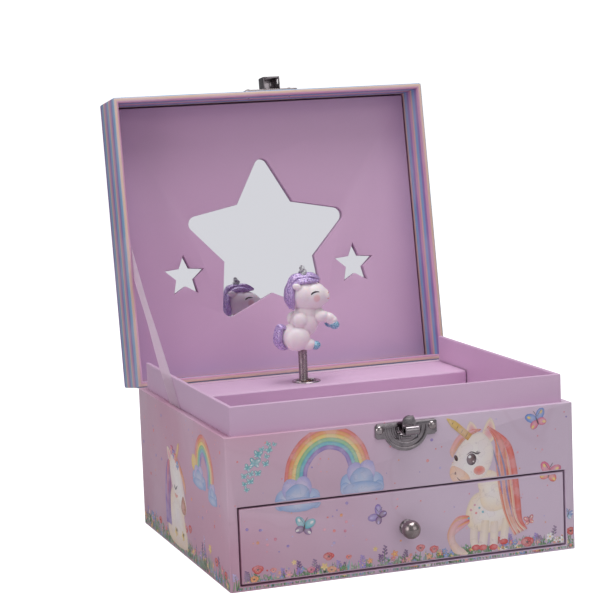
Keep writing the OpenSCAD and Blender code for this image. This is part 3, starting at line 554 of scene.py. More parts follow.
def smoothPath(points, each=5, closed=False):
    # Catmull-Rom through the points
    count, path = len(points), []
    points = [Vector(p) for p in points]
    for index in range(count if closed else count - 1):
        a, b, c, d = (points[(index + step) % count] if closed else points[min(max(index + step, 0),
                                                                               count - 1)]
                      for step in (-1, 0, 1, 2))
        for part in range(each):
            t = part / each
            path.append(0.5 * (2 * b + (c - a) * t + (2 * a - 5 * b + 4 * c - d) * t * t
                               + (3 * b - a - 3 * c + d) * t ** 3))
    return path if closed else path + [points[-1]]


# case

halfW, halfD = box["w"] / 2, box["d"] / 2
softBoard("caseBoard", "case_shell", "case", [
    (lambda a, b: all(abs(p.x) > halfW - 0.1 and abs(p.y) > halfD - 0.1 for p in (a, b))
     and abs(a.z - b.z) > 30, 1.0),
    (lambda a, b: all(p.z > box["h"] - 0.1 and (abs(p.x) > halfW - 1.2 or abs(p.y) > halfD - 1.2)
                      for p in (a, b)), 0.9),
    (lambda a, b: all(p.z < 0.1 for p in (a, b)) and (a - b).length > 20, 0.5),
    (lambda a, b: all(p.y < -halfD + 0.1 and 2 < p.z < 41 and abs(p.x) < 86 for p in (a, b)), 0.3),
], printedPaper)
softBoard("collarBoard", "collar_liner", "case", [
    (lambda a, b: all(p.z > 88 for p in (a, b)), 0.55),
    (lambda a, b: abs(a.z - b.z) > 30, 0.4),
], linerPaper)
softBoard("coverBoard", "music_cover", "case", [
    (lambda a, b: abs(a.x - b.x) > 100 and all(p.z > 73.9 for p in (a, b)), 0.9),
], linerPaper)
softBoard("drawerBoard", "drawer_front", "drawer", [
    (lambda a, b: all(p.y < -halfD + 0.1 for p in (a, b)) and (a - b).length > 20, 0.6),
    (lambda a, b: (a - b).length > 20, 0.3),
], printedPaper)
softBoard("drawerTray", "drawer_tray", "drawer", [(lambda a, b: (a - b).length > 20, 0.4)], linerPaper)
softBoard("mirrorPanel", "mirror_panel", "lid", [(lambda a, b: (a - b).length > 0.4, 0.22)], panelPaper)


def buildLid():
    bm = cadCopy("lid_shell")

    def local(p):
        return ((p.y - halfD) * lidUp.y + (p.z - box["h"]) * lidUp.z,
                (p.y - halfD) * lidOut.y + (p.z - box["h"]) * lidOut.z)

    def corner(p):
        d, deep = local(p)
        return abs(p.x) > halfW - 0.1, d < 0.1 or d > box["d"] - 0.1, deep > box["lidH"] - 0.1, deep < 0.5

    def isOuter(a, b):
        flags = [corner(a), corner(b)]
        return all(f[2] and (f[0] or f[1]) for f in flags) or all(f[0] and f[1] for f in flags)

    roundEdges(bm, sharpEdges(bm, isOuter), 1.1)
    roundEdges(bm, sharpEdges(bm, lambda a, b: all(corner(p)[3] for p in (a, b)) and (a - b).length > 20),
               0.7)
    run = bm.verts.layers.float.new("run")
    for vert in bm.verts:
        p = vert.co / mm
        d, deep = local(p)
        inward = min(halfW - abs(p.x), d, box["d"] - d)
        vert[run] = (deep if inward < 1.5 else -deep) - inward
    for face in bm.faces:
        d, deep = local(face.calc_center_median() / mm)
        across = face.normal.dot(lidOut)
        face.material_index = 1 if across > 0.75 and deep > 20 else 2 if across < -0.9 and deep > 20 else 0
    obj = finishObject("lidBoard", bm, "lid", [stripedPaper, printedPaper, plainPaper], crease=40)
    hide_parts("lid_shell")


buildLid()
nodeMaterials = {
    "shelf_board": linerPaper, "panel_spacers": plainPaper, "star_mirror": silveredMirror,
    "hinge_cloth_case": bookCloth, "hinge_cloth_lid": bookCloth,
    "knob_screw": metals["nickel"], "clasp_pin": metals["steel"], "clasp_spring": metals["steel"],
    "movement_frame": metals["castMetal"], "frame_screws": metals["nickel"], "spring_barrel": metals["brass"],
    "barrel_cap": metals["brass"], "crown_gear": metals["brass"], "mainspring": metals["steel"],
    "winding_arbor": metals["steel"], "ratchet_wheel": metals["brass"], "ratchet_click": metals["steel"],
    "winding_key": metals["brass"], "drum": metals["brass"], "drum_arbor": metals["steel"],
    "drum_pinion": metals["brass"], "drum_gear": metals["brass"], "comb": metals["steel"],
    "comb_screws": metals["nickel"], "governor_frame": metals["castMetal"], "governor_wheel": metals["brass"],
    "fly_worm": metals["steel"], "fly_blade": metals["brass"], "spindle_bracket": metals["castMetal"],
    "spindle_bush": metals["brass"], "spindle": metals["steel"], "spindle_pinion": metals["brass"],
    "figure_ferrule": metals["nickel"],
}
for name, made in nodeMaterials.items():
    nodes[name].data.materials.clear()
    nodes[name].data.materials.append(made)
print("boards ready")


# post, eyelet and knob

post = {"x": -5.35, "y": 50.8, "r": 2.5, "low": 74, "high": 94, "wire": 0.62, "figure": 91}
eyelet = {"x": -3.85, "r": 7.9, "hole": 5.4}


def buildPost():
    # close-wound spring: one small circle swept up a helix
    turns = int((post["high"] - post["low"]) / post["wire"])
    around = 40
    bm = bmesh.new()
    wireR = post["wire"] / 2
    ring = bmesh.ops.create_circle(bm, segments=10, radius=wireR * mm)["verts"]
    spot = Matrix.Translation(Vector((post["x"] + post["r"] - wireR, post["y"], post["low"] + wireR)) * mm)
    bmesh.ops.transform(bm, matrix=spot @ Matrix.Rotation(math.pi / 2, 4, "X"), verts=ring)
    edges = list({edge for vert in ring for edge in vert.link_edges})
    steps = (turns - 1) * around
    bmesh.ops.spin(bm, geom=ring + edges, cent=(post["x"] * mm, post["y"] * mm, 0), axis=(0, 0, 1),
                   dvec=(0, 0, post["wire"] * mm / around), angle=math.tau * (turns - 1), steps=steps)
    bmesh.ops.holes_fill(bm, edges=[edge for edge in bm.edges if edge.is_boundary])
    obj = finishObject("postCoil", bm, None, [metals["springWire"]])
    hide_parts("post_spring")
    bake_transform(obj, "case", "post", (post["x"] * mm, post["y"] * mm, post["low"] * mm),
             (post["x"] * mm, post["y"] * mm, post["figure"] * mm))


def buildEyelet():
    outer, hole = eyelet["r"], eyelet["hole"]
    ring = [(hole, -3), (hole, -0.1), (hole + 0.15, 0.35), (hole + 0.5, 0.66), (hole + 1.0, 0.78),
            (outer - 1.0, 0.72),
            (outer - 0.4, 0.5), (outer - 0.05, 0.14), (outer - 0.02, 0.02), (hole + 0.3, 0.02),
            (hole + 0.3, -3),
            (hole, -3)]
    bm = lathe("eyelet", ring, (eyelet["x"], post["y"], 74), (0, 0, 1), 72)
    obj = finishObject("coverEyelet", bm, "case", [metals["nickel"]], crease=60)
    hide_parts("cover_eyelet")


def buildKnob():
    y, z = -halfD, 21.45
    radius, neck, reach = 4.6, 1.9, 5.6
    start = math.asin(neck / radius)
    ball = [(radius * math.sin(math.pi - t), reach + radius * math.cos(math.pi - t))
            for t in (start + (math.pi - start) * i / 20 for i in range(20))]
    profile = [(neck, 0.9)] + ball + [(0.0001, reach + radius)]
    bm = lathe("knob", profile, (0, y, z), (0, -1, 0), 56)
    bmesh.ops.holes_fill(bm, edges=[edge for edge in bm.edges if edge.is_boundary])
    obj = finishObject("drawerKnob", bm, "drawer", [metals["knobNickel"]], crease=35)
    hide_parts("drawer_knob")
    base = [(0.0001, 0), (3.9, 0), (3.95, 0.25), (3.8, 0.5), (3.3, 0.62), (3.2, 0.95), (2.9, 1.2),
            (2.2, 1.28),
            (0.0001, 1.28)]
    bm = lathe("base", base, (0, y, z), (0, -1, 0), 48)
    obj = finishObject("knobBase", bm, "drawer", [metals["darkNickel"]], crease=45)
    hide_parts("knob_base")


buildPost()
buildEyelet()
buildKnob()

# clasp and catch

clasp = {"x": 1, "halfW": 16, "top": 73.5, "ear": 7.6, "r": 12, "ring": 71.1, "t": 0.8, "nailX": 13.6,
         "nailZ": 70.3,
         "pinY": -81.5, "pinZ": 66.9, "hookY": -83.5, "hookTop": 77.1, "lipY": -86.2, "lipZ": 70.3,
         "lipR": 2.2}


def nail(bm, place, out, radius=2.0):
    # domed nail head with a small rolled edge
    dome = [(0.0001, -0.2), (radius - 0.1, -0.2), (radius, 0.06), (radius - 0.12, 0.24), (radius * 0.8, 0.55),
            (radius * 0.5, 0.85), (radius * 0.22, 1.0), (0.0001, 1.03)]
    joinMesh(bm, lathe("nail", dome, place, out, 28))


def buildClasp():
    c, y = clasp, -halfD
    low, drop = c["top"] - c["ear"], c["ring"]
    bend = math.asin((drop - low) / c["r"])
    arc = [(c["x"] + c["r"] * math.cos(a), drop - c["r"] * math.sin(a))
           for a in (bend + (math.pi - 2 * bend) * i / 28 for i in range(29))]
    corner = 1.2

    def ear(side):
        x, inner = c["x"] + side * c["halfW"], side * corner
        return [(x, low + corner), (x, c["top"] - corner), (x - inner, c["top"])]
    outline = [(c["x"] + c["halfW"] - corner,
                low)] + ear(1) + ear(-1)[::-1] + [(c["x"] - c["halfW"] + corner, low)]
    outline = outline[1:4] + outline[4:] + arc[::-1] + [outline[0]]
    bm = bmesh.new()
    plate(bm, outline, (0, y, 0), (1, 0, 0), (0, 0, 1), c["t"], 0.28)
    # stepped half rings pressed into the plate
    for radius, high in ((10.7, 0.6), (8.3, 0.5), (6.0, 0.5), (3.9, 0.4)):
        wide = 0.62
        profile = [(radius - wide, -0.2), (radius - wide * 0.85, high * 0.7), (radius - wide * 0.3, high),
                   (radius + wide * 0.3, high), (radius + wide * 0.85, high * 0.7), (radius + wide, -0.2)]
        half = bmesh.new()
        centre = Vector((c["x"], y - c["t"], drop)) * mm
        verts = [half.verts.new(centre + Vector((r * mm, -h * mm, 0))) for r, h in profile]
        half.faces.new(verts)
        bmesh.ops.spin(half, geom=verts + list(half.edges), cent=centre, axis=(0, 1, 0), angle=math.pi,
                       steps=40)
        bmesh.ops.holes_fill(half, edges=[edge for edge in half.edges if edge.is_boundary])
        bmesh.ops.recalc_face_normals(half, faces=half.faces)
        joinMesh(bm, half)
    for side in (-1, 1):
        x = c["x"] + side * 4.9
        block(bm, x - 0.4, x + 0.4, c["pinY"] - 1.4, y, c["pinZ"] - 1.5, c["pinZ"] + 1.5, 0.3)
    obj = finishObject("claspPlate", bm, "case", [metals["darkNickel"]], crease=35)
    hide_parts("clasp_plate")
    bm = bmesh.new()
    for side in (-1, 1):
        nail(bm, (c["x"] + side * c["nailX"], y - c["t"], c["nailZ"]), (0, -1, 0))
    obj = finishObject("claspNails", bm, "case", [metals["nickel"]], crease=50)
    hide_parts("clasp_nails")


def buildLever():
    c = clasp
    bm = bmesh.new()
    # round-topped tongue
    wide, crown = 3.4, c["hookTop"] - 3.4
    arc = [(c["x"] + wide * math.cos(math.pi * i / 14),
            crown + wide * math.sin(math.pi * i / 14)) for i in range(15)]
    outline = [(c["x"] - wide, c["pinZ"] - 0.6), (c["x"] + wide, c["pinZ"] - 0.6)] + arc
    plate(bm, outline, (0, c["hookY"] + 0.8, 0), (1, 0, 0), (0, 0, 1), 0.8, 0.25)
    block(bm, c["x"] - 2, c["x"] + 2, c["hookY"] - 1.3, c["hookY"] + 0.1, c["hookTop"] - 0.9,
          c["hookTop"] - 0.1, 0.25)
    # knuckle, web and rolled finger lip
    knuckle = [(0.8, -5.3), (1.5, -5.3), (1.5, 0.9), (0.8, 0.9), (0.8, -5.3)]
    joinMesh(bm, lathe("knuckle", knuckle, (c["x"] + 1.0, c["pinY"], c["pinZ"]), (1, 0, 0), 24))
    block(bm, c["x"] - 3.4, c["x"] + 1, c["hookY"], c["pinY"], c["pinZ"] - 0.6, c["pinZ"] + 0.6, 0.2)
    block(bm, c["x"] - 3.4, c["x"] + 3.4, c["lipY"], c["hookY"] + 0.4, c["lipZ"] - 2.0, c["lipZ"] - 1.0, 0.25)
    r, half = c["lipR"], 3.6
    roll = [(r - 0.9, -half), (r - 0.25, -half), (r, -half + 0.35), (r, half - 0.35), (r - 0.25, half),
            (r - 0.9, half), (r - 0.9, -half)]
    joinMesh(bm, lathe("lip", roll, (c["x"], c["lipY"], c["lipZ"]), (1, 0, 0), 32))
    obj = finishObject("claspLever", bm, "latch", [metals["darkNickel"]], crease=35)
    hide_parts("clasp_lever")


catch = {"x": 1, "w": 30, "low": 1.2, "h": 12, "t": 0.8, "nailX": 12, "nailZ": 7.6, "loopW": 9.6,
         "reach": 6.8,
         "loopLow": 1.0, "loopH": 8.5, "sill": 2.0}


def onLid(bm):
    # pieces are drawn with the lid closed: turn them about the hinge to where the lid stands open
    bmesh.ops.rotate(bm, verts=bm.verts, cent=hinge * mm, matrix=Matrix.Rotation(-lean, 3, "X"))


def buildCatch():
    c, y = catch, -halfD
    z = box["h"]
    x0, x1, low, high = c["x"] - c["w"] / 2, c["x"] + c["w"] / 2, z + c["low"], z + c["low"] + c["h"]
    outline = [(x0 + 1.2, low), (x1 - 1.2, low), (x1, low + 1.2), (x1, high - 1.2), (x1 - 1.2, high),
               (x0 + 1.2, high), (x0, high - 1.2), (x0, low + 1.2)]
    bm = bmesh.new()
    plate(bm, outline, (0, y, 0), (1, 0, 0), (0, 0, 1), c["t"], 0.25)
    onLid(bm)
    obj = finishObject("catchPlate", bm, "lid", [metals["nickel"]], crease=35)
    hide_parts("catch_plate")
    # loop: two side walls, a roof and a front wall with a window for the barb
    bm = bmesh.new()
    half, front = c["loopW"] / 2, y - c["t"] - c["reach"]
    base, top = z + c["loopLow"], z + c["loopLow"] + c["loopH"]
    left, right, back = c["x"] - half, c["x"] + half, y - c["t"]
    block(bm, left, left + 0.8, front, back, base, top - 0.3, 0.2)
    block(bm, right - 0.8, right, front, front + 1.2, base, top - 0.3, 0.2)
    block(bm, right - 0.8, right, front + 4.0, back, base, top - 0.3, 0.2)
    block(bm, right - 0.8, right, front + 1.0, front + 4.2, base, base + 1.0, 0.1)
    block(bm, right - 0.8, right, front + 1.0, front + 4.2, base + 4.0, top - 0.3, 0.1)
    block(bm, left, right, front + 0.4, back, top - 0.8, top, 0.3)
    block(bm, left + 0.7, right - 0.7, front, front + 0.8, z + c["sill"] + 3.4, top - 0.4, 0.15)
    block(bm, left + 0.7, right - 0.7, front, front + 0.8, base, z + c["sill"], 0.15)
    for side in (-1, 1):
        block(bm, c["x"] + side * 3.3 - 0.85, c["x"] + side * 3.3 + 0.85, front, front + 0.8, base + 0.5,
              top - 0.9, 0.15)
    onLid(bm)
    obj = finishObject("catchLoop", bm, "lid", [metals["darkNickel"]], crease=35)
    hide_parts("catch_loop")
    bm = bmesh.new()
    for side in (-1, 1):
        x = c["x"] + side * c["nailX"]
        nail(bm, (x, y - c["t"], z + c["nailZ"]), (0, -1, 0))
        # the clenched end shows inside the lid
        end = [(0.0001, 0), (0.6, 0), (0.6, 3.2), (0.45, 3.5), (0.0001, 3.55)]
        joinMesh(bm, lathe("shank", end, (x, y - 0.1, z + c["nailZ"]), (0, 1, 0), 14))
    onLid(bm)
    obj = finishObject("catchNails", bm, "lid", [metals["nickel"]], crease=50)
    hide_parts("catch_nails")


buildClasp()
buildLever()
buildCatch()
print("metalwork ready")

# ribbon

ribbon = {"x": -86.62, "low": (4.4, 62.0), "high": (99.1, 147.7), "w": 12, "t": 0.16, "twist": 0.16,
          "bow": 0.5}


def buildRibbon():
    # a strip with a little twist between its glued ends; the rows carry the weave UV
    low, high = Vector((0, *ribbon["low"])), Vector((0, *ribbon["high"]))
    along = (high - low).normalized()
    across = Vector((0, -along.z, along.y))
    length, rows, cols = (high - low).length, 90, 12
    bm = bmesh.new()
    grid = []
    for i in range(rows + 1):
        t = i / rows
        roll = ribbon["twist"] * math.sin(t * math.pi * 2.0) * math.sin(t * math.pi)
        row = []
        for j in range(cols + 1):
            s = (j / cols - 0.5) * ribbon["w"]
            cup = ribbon["bow"] * math.sin(math.pi * t) * (0.5 - (2 * j / cols - 1) ** 2 * 0.5)
            fine = 0.05 * math.sin(t * 23 + j * 0.7) * math.sin(math.pi * t)
            x = ribbon["x"] + s * math.sin(roll) * 0.5 + min(cup, 0.35) + fine
            place = Vector((x, 0, 0)) + low + along * length * t + across * s * math.cos(roll)
            row.append(bm.verts.new(place * mm))
        grid.append(row)
    weave = bm.loops.layers.uv.new("weave")
    for i in range(rows):
        for j in range(cols):
            face = bm.faces.new((grid[i][j], grid[i + 1][j], grid[i + 1][j + 1], grid[i][j + 1]))
            for loop, (a, b) in zip(face.loops, ((i, j), (i + 1, j), (i + 1, j + 1), (i, j + 1))):
                loop[weave].uv = (b / cols * ribbon["w"] / length, a / rows)
    bmesh.ops.solidify(bm, geom=bm.faces, thickness=ribbon["t"] * mm)
    obj = finishObject("ribbonStay", bm, None, [satin], crease=60)
    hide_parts("ribbon_stay")
    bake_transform(obj, "case", "lid", (0, low.y * mm, low.z * mm), (0, high.y * mm, high.z * mm))


buildRibbon()
print("ribbon ready")


# printed art
# flat shapes in (u, v) millimetres on a face, cut to the face's windows and raised by tier

def newArt():
    bm = bmesh.new()
    return {"bm": bm, "ink": bm.verts.layers.float_color.new("ink"),
            "lift": bm.verts.layers.float.new("lift"),
            "count": 0}


def tint(r, g, b, wobble=0.03):
    shade = 1 + rng.uniform(-wobble, wobble)
    return tuple(min(1, c * shade) for c in srgb(r, g, b))


def mixed(a, b, t):
    return tuple(x + (y - x) * t for x, y in zip(a, b))


def startShape(art, tier):
    art["count"] += 1
    return tier * 0.016 + (art["count"] % 8) * 0.002


def artVert(art, u, v, ink, lift):
    vert = art["bm"].verts.new((u, 0, v))
    vert[art["ink"]] = (*ink, 1)
    vert[art["lift"]] = lift
    return vert


def wash(art, points, ink, tier, core=None, edge=0.8, each=4, smooth=True):
    # closed shape: a darker dried edge, the ink itself, and a paler or different core
    lift = startShape(art, tier)
    path = [(p[0], p[1]) for p in (smoothPath([(*p, 0) for p in points], each, True) if smooth else points)]
    cu, cv = sum(p[0] for p in path) / len(path), sum(p[1] for p in path) / len(path)
    core = core or mixed(ink, (1, 1, 1), 0.18)
    rings = []
    for scale, colour in ((1.0, tuple(c * edge for c in ink)), (0.9, ink), (0.5, mixed(ink, core, 0.6))):
        rings.append([artVert(art, cu + (u - cu) * scale, cv + (v - cv) * scale, colour, lift) for u,
                      v in path])
    centre = artVert(art, cu, cv, core, lift)
    total = len(path)
    for i in range(total):
        j = (i + 1) % total
        for a, b in zip(rings, rings[1:]):
            art["bm"].faces.new((a[i], a[j], b[j], b[i]))
        art["bm"].faces.new((rings[-1][i], rings[-1][j], centre))


def oval(art, u, v, ru, rv, ink, tier, core=None, turn=0.0, count=12, edge=0.85, wobble=0.0):
    points = []
    for i in range(count):
        a = math.tau * i / count
        r = 1 + rng.uniform(-wobble, wobble)
        x, y = ru * r * math.cos(a), rv * r * math.sin(a)
        points.append((u + x * math.cos(turn) - y * math.sin(turn),
                       v + x * math.sin(turn) + y * math.cos(turn)))
    wash(art, points, ink, tier, core, edge, 2 if count < 9 else 1, count < 9)


def stroke(art, points, width, ink, tier, end=None, tipA=0.15, tipB=0.15, each=5):
    # brush stroke that swells between its tips
    lift = startShape(art, tier)
    path = smoothPath([(*p, 0) for p in points], each)
    end = end or ink
    rows = []
    for i, p in enumerate(path):
        t = i / (len(path) - 1)
        ahead = (path[min(i + 1, len(path) - 1)] - path[max(i - 1, 0)]).normalized()
        side = Vector((-ahead.y, ahead.x, 0))
        swell = min(1, tipA + t * 3.2, tipB + (1 - t) * 3.2)
        half = width / 2 * swell
        colour = mixed(ink, end, t)
        rows.append([artVert(art, q.x, q.y, c, lift) for q, c in
                     ((p + side * half, tuple(x * 0.86 for x in colour)), (p, mixed(colour, (1, 1, 1), 0.08)),
                      (p - side * half, tuple(x * 0.92 for x in colour)))])
    for a, b in zip(rows, rows[1:]):
        for k in (0, 1):
            art["bm"].faces.new((a[k], a[k + 1], b[k + 1], b[k]))


def dot(art, u, v, r, ink, tier=2):
    oval(art, u, v, r, r * rng.uniform(0.85, 1.05), ink, tier, count=10, wobble=0.06)


ink = {
    "coral": (238, 122, 112), "orange": (246, 164, 100), "yellow": (250, 214, 118), "green": (150, 206, 150),
    "teal": (112, 190, 204), "violet": (158, 130, 204), "rose": (226, 116, 150), "red": (224, 84, 84),
    "blue": (120, 150, 216), "leaf": (122, 160, 112), "moss": (90, 128, 92), "cream": (252, 232, 208),
    "white": (252, 246, 246), "peach": (248, 196, 168), "gold": (226, 172, 96), "brown": (150, 98, 84),
    "dark": (62, 44, 52), "lavender": (196, 180, 228), "sky": (156, 196, 228), "grey": (150, 158, 186),
    "plum": (128, 84, 142), "aqua": (104, 184, 192), "pink": (240, 166, 184),
}


def paint(name, wobble=0.05):
    return tint(*ink[name], wobble)


def petals(art, u, v, r, colour, tier, count=5, centre="yellow", spread=0.62):
    start = rng.uniform(0, math.tau)
    for i in range(count):
        a = start + math.tau * i / count
        oval(art, u + r * spread * math.cos(a), v + r * spread * math.sin(a), r * 0.5, r * 0.34,
             paint(colour, 0.1),
             tier, mixed(paint(colour), (1, 1, 1), 0.3), a, 8)
    dot(art, u, v, r * 0.26, paint(centre), tier + 1)


def poppy(art, u, v, r, colour="red", tier=4):
    for du, dv, s in ((-0.36, 0.1, 0.75), (0.36, 0.12, 0.75), (0, -0.22, 0.8), (0, 0.34, 0.62)):
        oval(art, u + r * du, v + r * dv, r * s, r * s * 0.78, paint(colour, 0.1), tier,
             mixed(paint(colour), (1, 0.9, 0.8), 0.35), 0, 9, 0.8, 0.08)
    dot(art, u, v, r * 0.2, paint("dark"), tier + 1)
    for i in range(5):
        a = i * 1.3
        dot(art, u + r * 0.34 * math.cos(a), v + r * 0.34 * math.sin(a), r * 0.06, paint("dark"), tier + 1)


def blade(art, u, high, bend, colour, width=0.55, base=0.0, tier=2):
    stroke(art, [(u, base), (u + bend * 0.35, base + high * 0.5), (u + bend, base + high)], width,
           paint(colour, 0.15),
           tier, tipB=0.05, each=3)


def sprig(art, u, v, high, colour, tier=3, stem="moss"):
    lean = rng.uniform(-1.6, 1.6)
    stroke(art, [(u, v - high), (u + lean * 0.3, v - high * 0.5), (u + lean, v)], 0.35, paint(stem, 0.1),
           tier, each=3)
    for i in range(7):
        t = i / 6
        side = 1 if i % 2 else -1
        oval(art, u + lean * (0.4 + 0.6 * t) + side * (1.0 - 0.7 * t), v - high * 0.5 * (1 - t), 0.75, 0.42,
             paint(colour, 0.12), tier + 1, turn=side * 0.7, count=7)


def leafy(art, u, v, high, colour="leaf", tier=2):
    stroke(art, [(u, v), (u + 0.5, v + high * 0.5), (u, v + high)], 0.35, paint("moss"), tier, each=3)
    for i in range(5):
        side = 1 if i % 2 else -1
        t = 0.15 + i * 0.18
        stroke(art, [(u, v + high * t), (u + side * 1.6, v + high * t + 1.2)], 0.9, paint(colour, 0.15),
               tier, each=3)


def butterfly(art, u, v, r, colours, tier=4, turn=0.0, body="dark"):
    a, b, spot = colours
    for side in (-1, 1):
        for angle, long, wide, colour in ((0.75, 1.0, 0.62, a), (-0.55, 0.72, 0.55, b)):
            direction = turn + (angle if side > 0 else math.pi - angle)
            cu, cv = u + r * 0.55 * long * math.cos(direction), v + r * 0.55 * long * math.sin(direction)
            oval(art, cu, cv, r * 0.55 * long, r * 0.4 * wide * 1.4, paint(colour, 0.08), tier,
                 mixed(paint(colour), (1, 1, 1), 0.35), direction, 10, 0.72)
            oval(art, cu + r * 0.2 * math.cos(direction), cv + r * 0.2 * math.sin(direction), r * 0.16,
                 r * 0.1,
                 paint(spot), tier + 1, turn=direction, count=7)
    stroke(art, [(u - 0.35 * r * math.sin(-turn), v - 0.35 * r * math.cos(turn)),
                 (u + 0.35 * r * math.sin(-turn), v + 0.35 * r * math.cos(turn))], max(0.35, r * 0.12),
           paint(body),
           tier + 2, each=3)
    if r > 2.5:
        for side in (-1, 1):
            stroke(art, [(u, v + 0.3 * r), (u + side * 0.2 * r, v + 0.62 * r),
                         (u + side * 0.34 * r, v + 0.8 * r)], 0.22,
                   paint(body), tier + 2, each=3)


def rainbow(art, path, width, tier=3, bands=("coral", "orange", "yellow", "green", "teal", "violet")):
    curve = smoothPath([(*p, 0) for p in path], 14)
    step = width / len(bands)
    for k, name in enumerate(bands):
        shifted = []
        for i, p in enumerate(curve[::3] + [curve[-1]]):
            index = min(i * 3, len(curve) - 1)
            ahead = (curve[min(index + 1, len(curve) - 1)] - curve[max(index - 1, 0)]).normalized()
            side = Vector((-ahead.y, ahead.x, 0))
            shifted.append(tuple((curve[index] - side * step * (k + 0.5))[:2]))
        stroke(art, shifted, step * 1.12, paint(name, 0.03), tier, mixed(paint(name), (1, 1, 1), 0.12), 1, 1,
               3)


def cloud(art, u0, u1, v0, v1, tier=4):
    wide, tall = u1 - u0, v1 - v0
    puffs = [(0.5, 0.2, 0.5, 0.24), (0.2, 0.36, 0.22, 0.34), (0.8, 0.34, 0.22, 0.32), (0.36, 0.6, 0.22, 0.36),
             (0.63, 0.64, 0.21, 0.36), (0.5, 0.42, 0.3, 0.4), (0.12, 0.24, 0.14, 0.2),
             (0.89, 0.22, 0.13, 0.2)]
    for pu, pv, ru, rv in puffs:
        high = paint("lavender", 0.02) if pv > 0.5 else mixed(paint("lavender", 0.02), paint("sky", 0.02),
                                                              0.6)
        deep = mixed(paint("blue", 0.02), paint("sky", 0.02), 0.5)
        oval(art, u0 + wide * pu, v0 + tall * pv, wide * ru * 0.92, tall * rv * 0.8,
             mixed(high, deep, 0.55 - pv * 0.5),
             tier, mixed(high, (1, 1, 1), 0.3), 0, 16, 0.86, 0.04)


def meadow(art, low, high, count, tallest=9.0, tier=1):
    # tangle of grass, then leaves and little flowers standing in it
    for i in range(count):
        u = rng.uniform(low, high)
        blade(art, u, rng.uniform(2.5, tallest), rng.uniform(-1.6, 1.6),
              rng.choice(("leaf", "moss", "green", "aqua")),
              rng.uniform(0.35, 0.7), rng.uniform(-0.6, 0.6), tier)
    for i in range(count // 5):
        leafy(art, rng.uniform(low, high), rng.uniform(0, 1.5), rng.uniform(3, tallest * 0.75))
    for i in range(count // 4):
        u, v = rng.uniform(low, high), rng.uniform(1.2, tallest * 0.8)
        petals(art, u, v, rng.uniform(0.8, 1.5),
               rng.choice(("rose", "yellow", "violet", "blue", "orange", "coral",
                                                             "white", "pink")), 3)
    for i in range(count // 3):
        dot(art, rng.uniform(low, high), rng.uniform(0.6, tallest * 0.95), rng.uniform(0.22, 0.5),
            paint(rng.choice(("red", "violet", "yellow", "coral", "plum"))), 3)


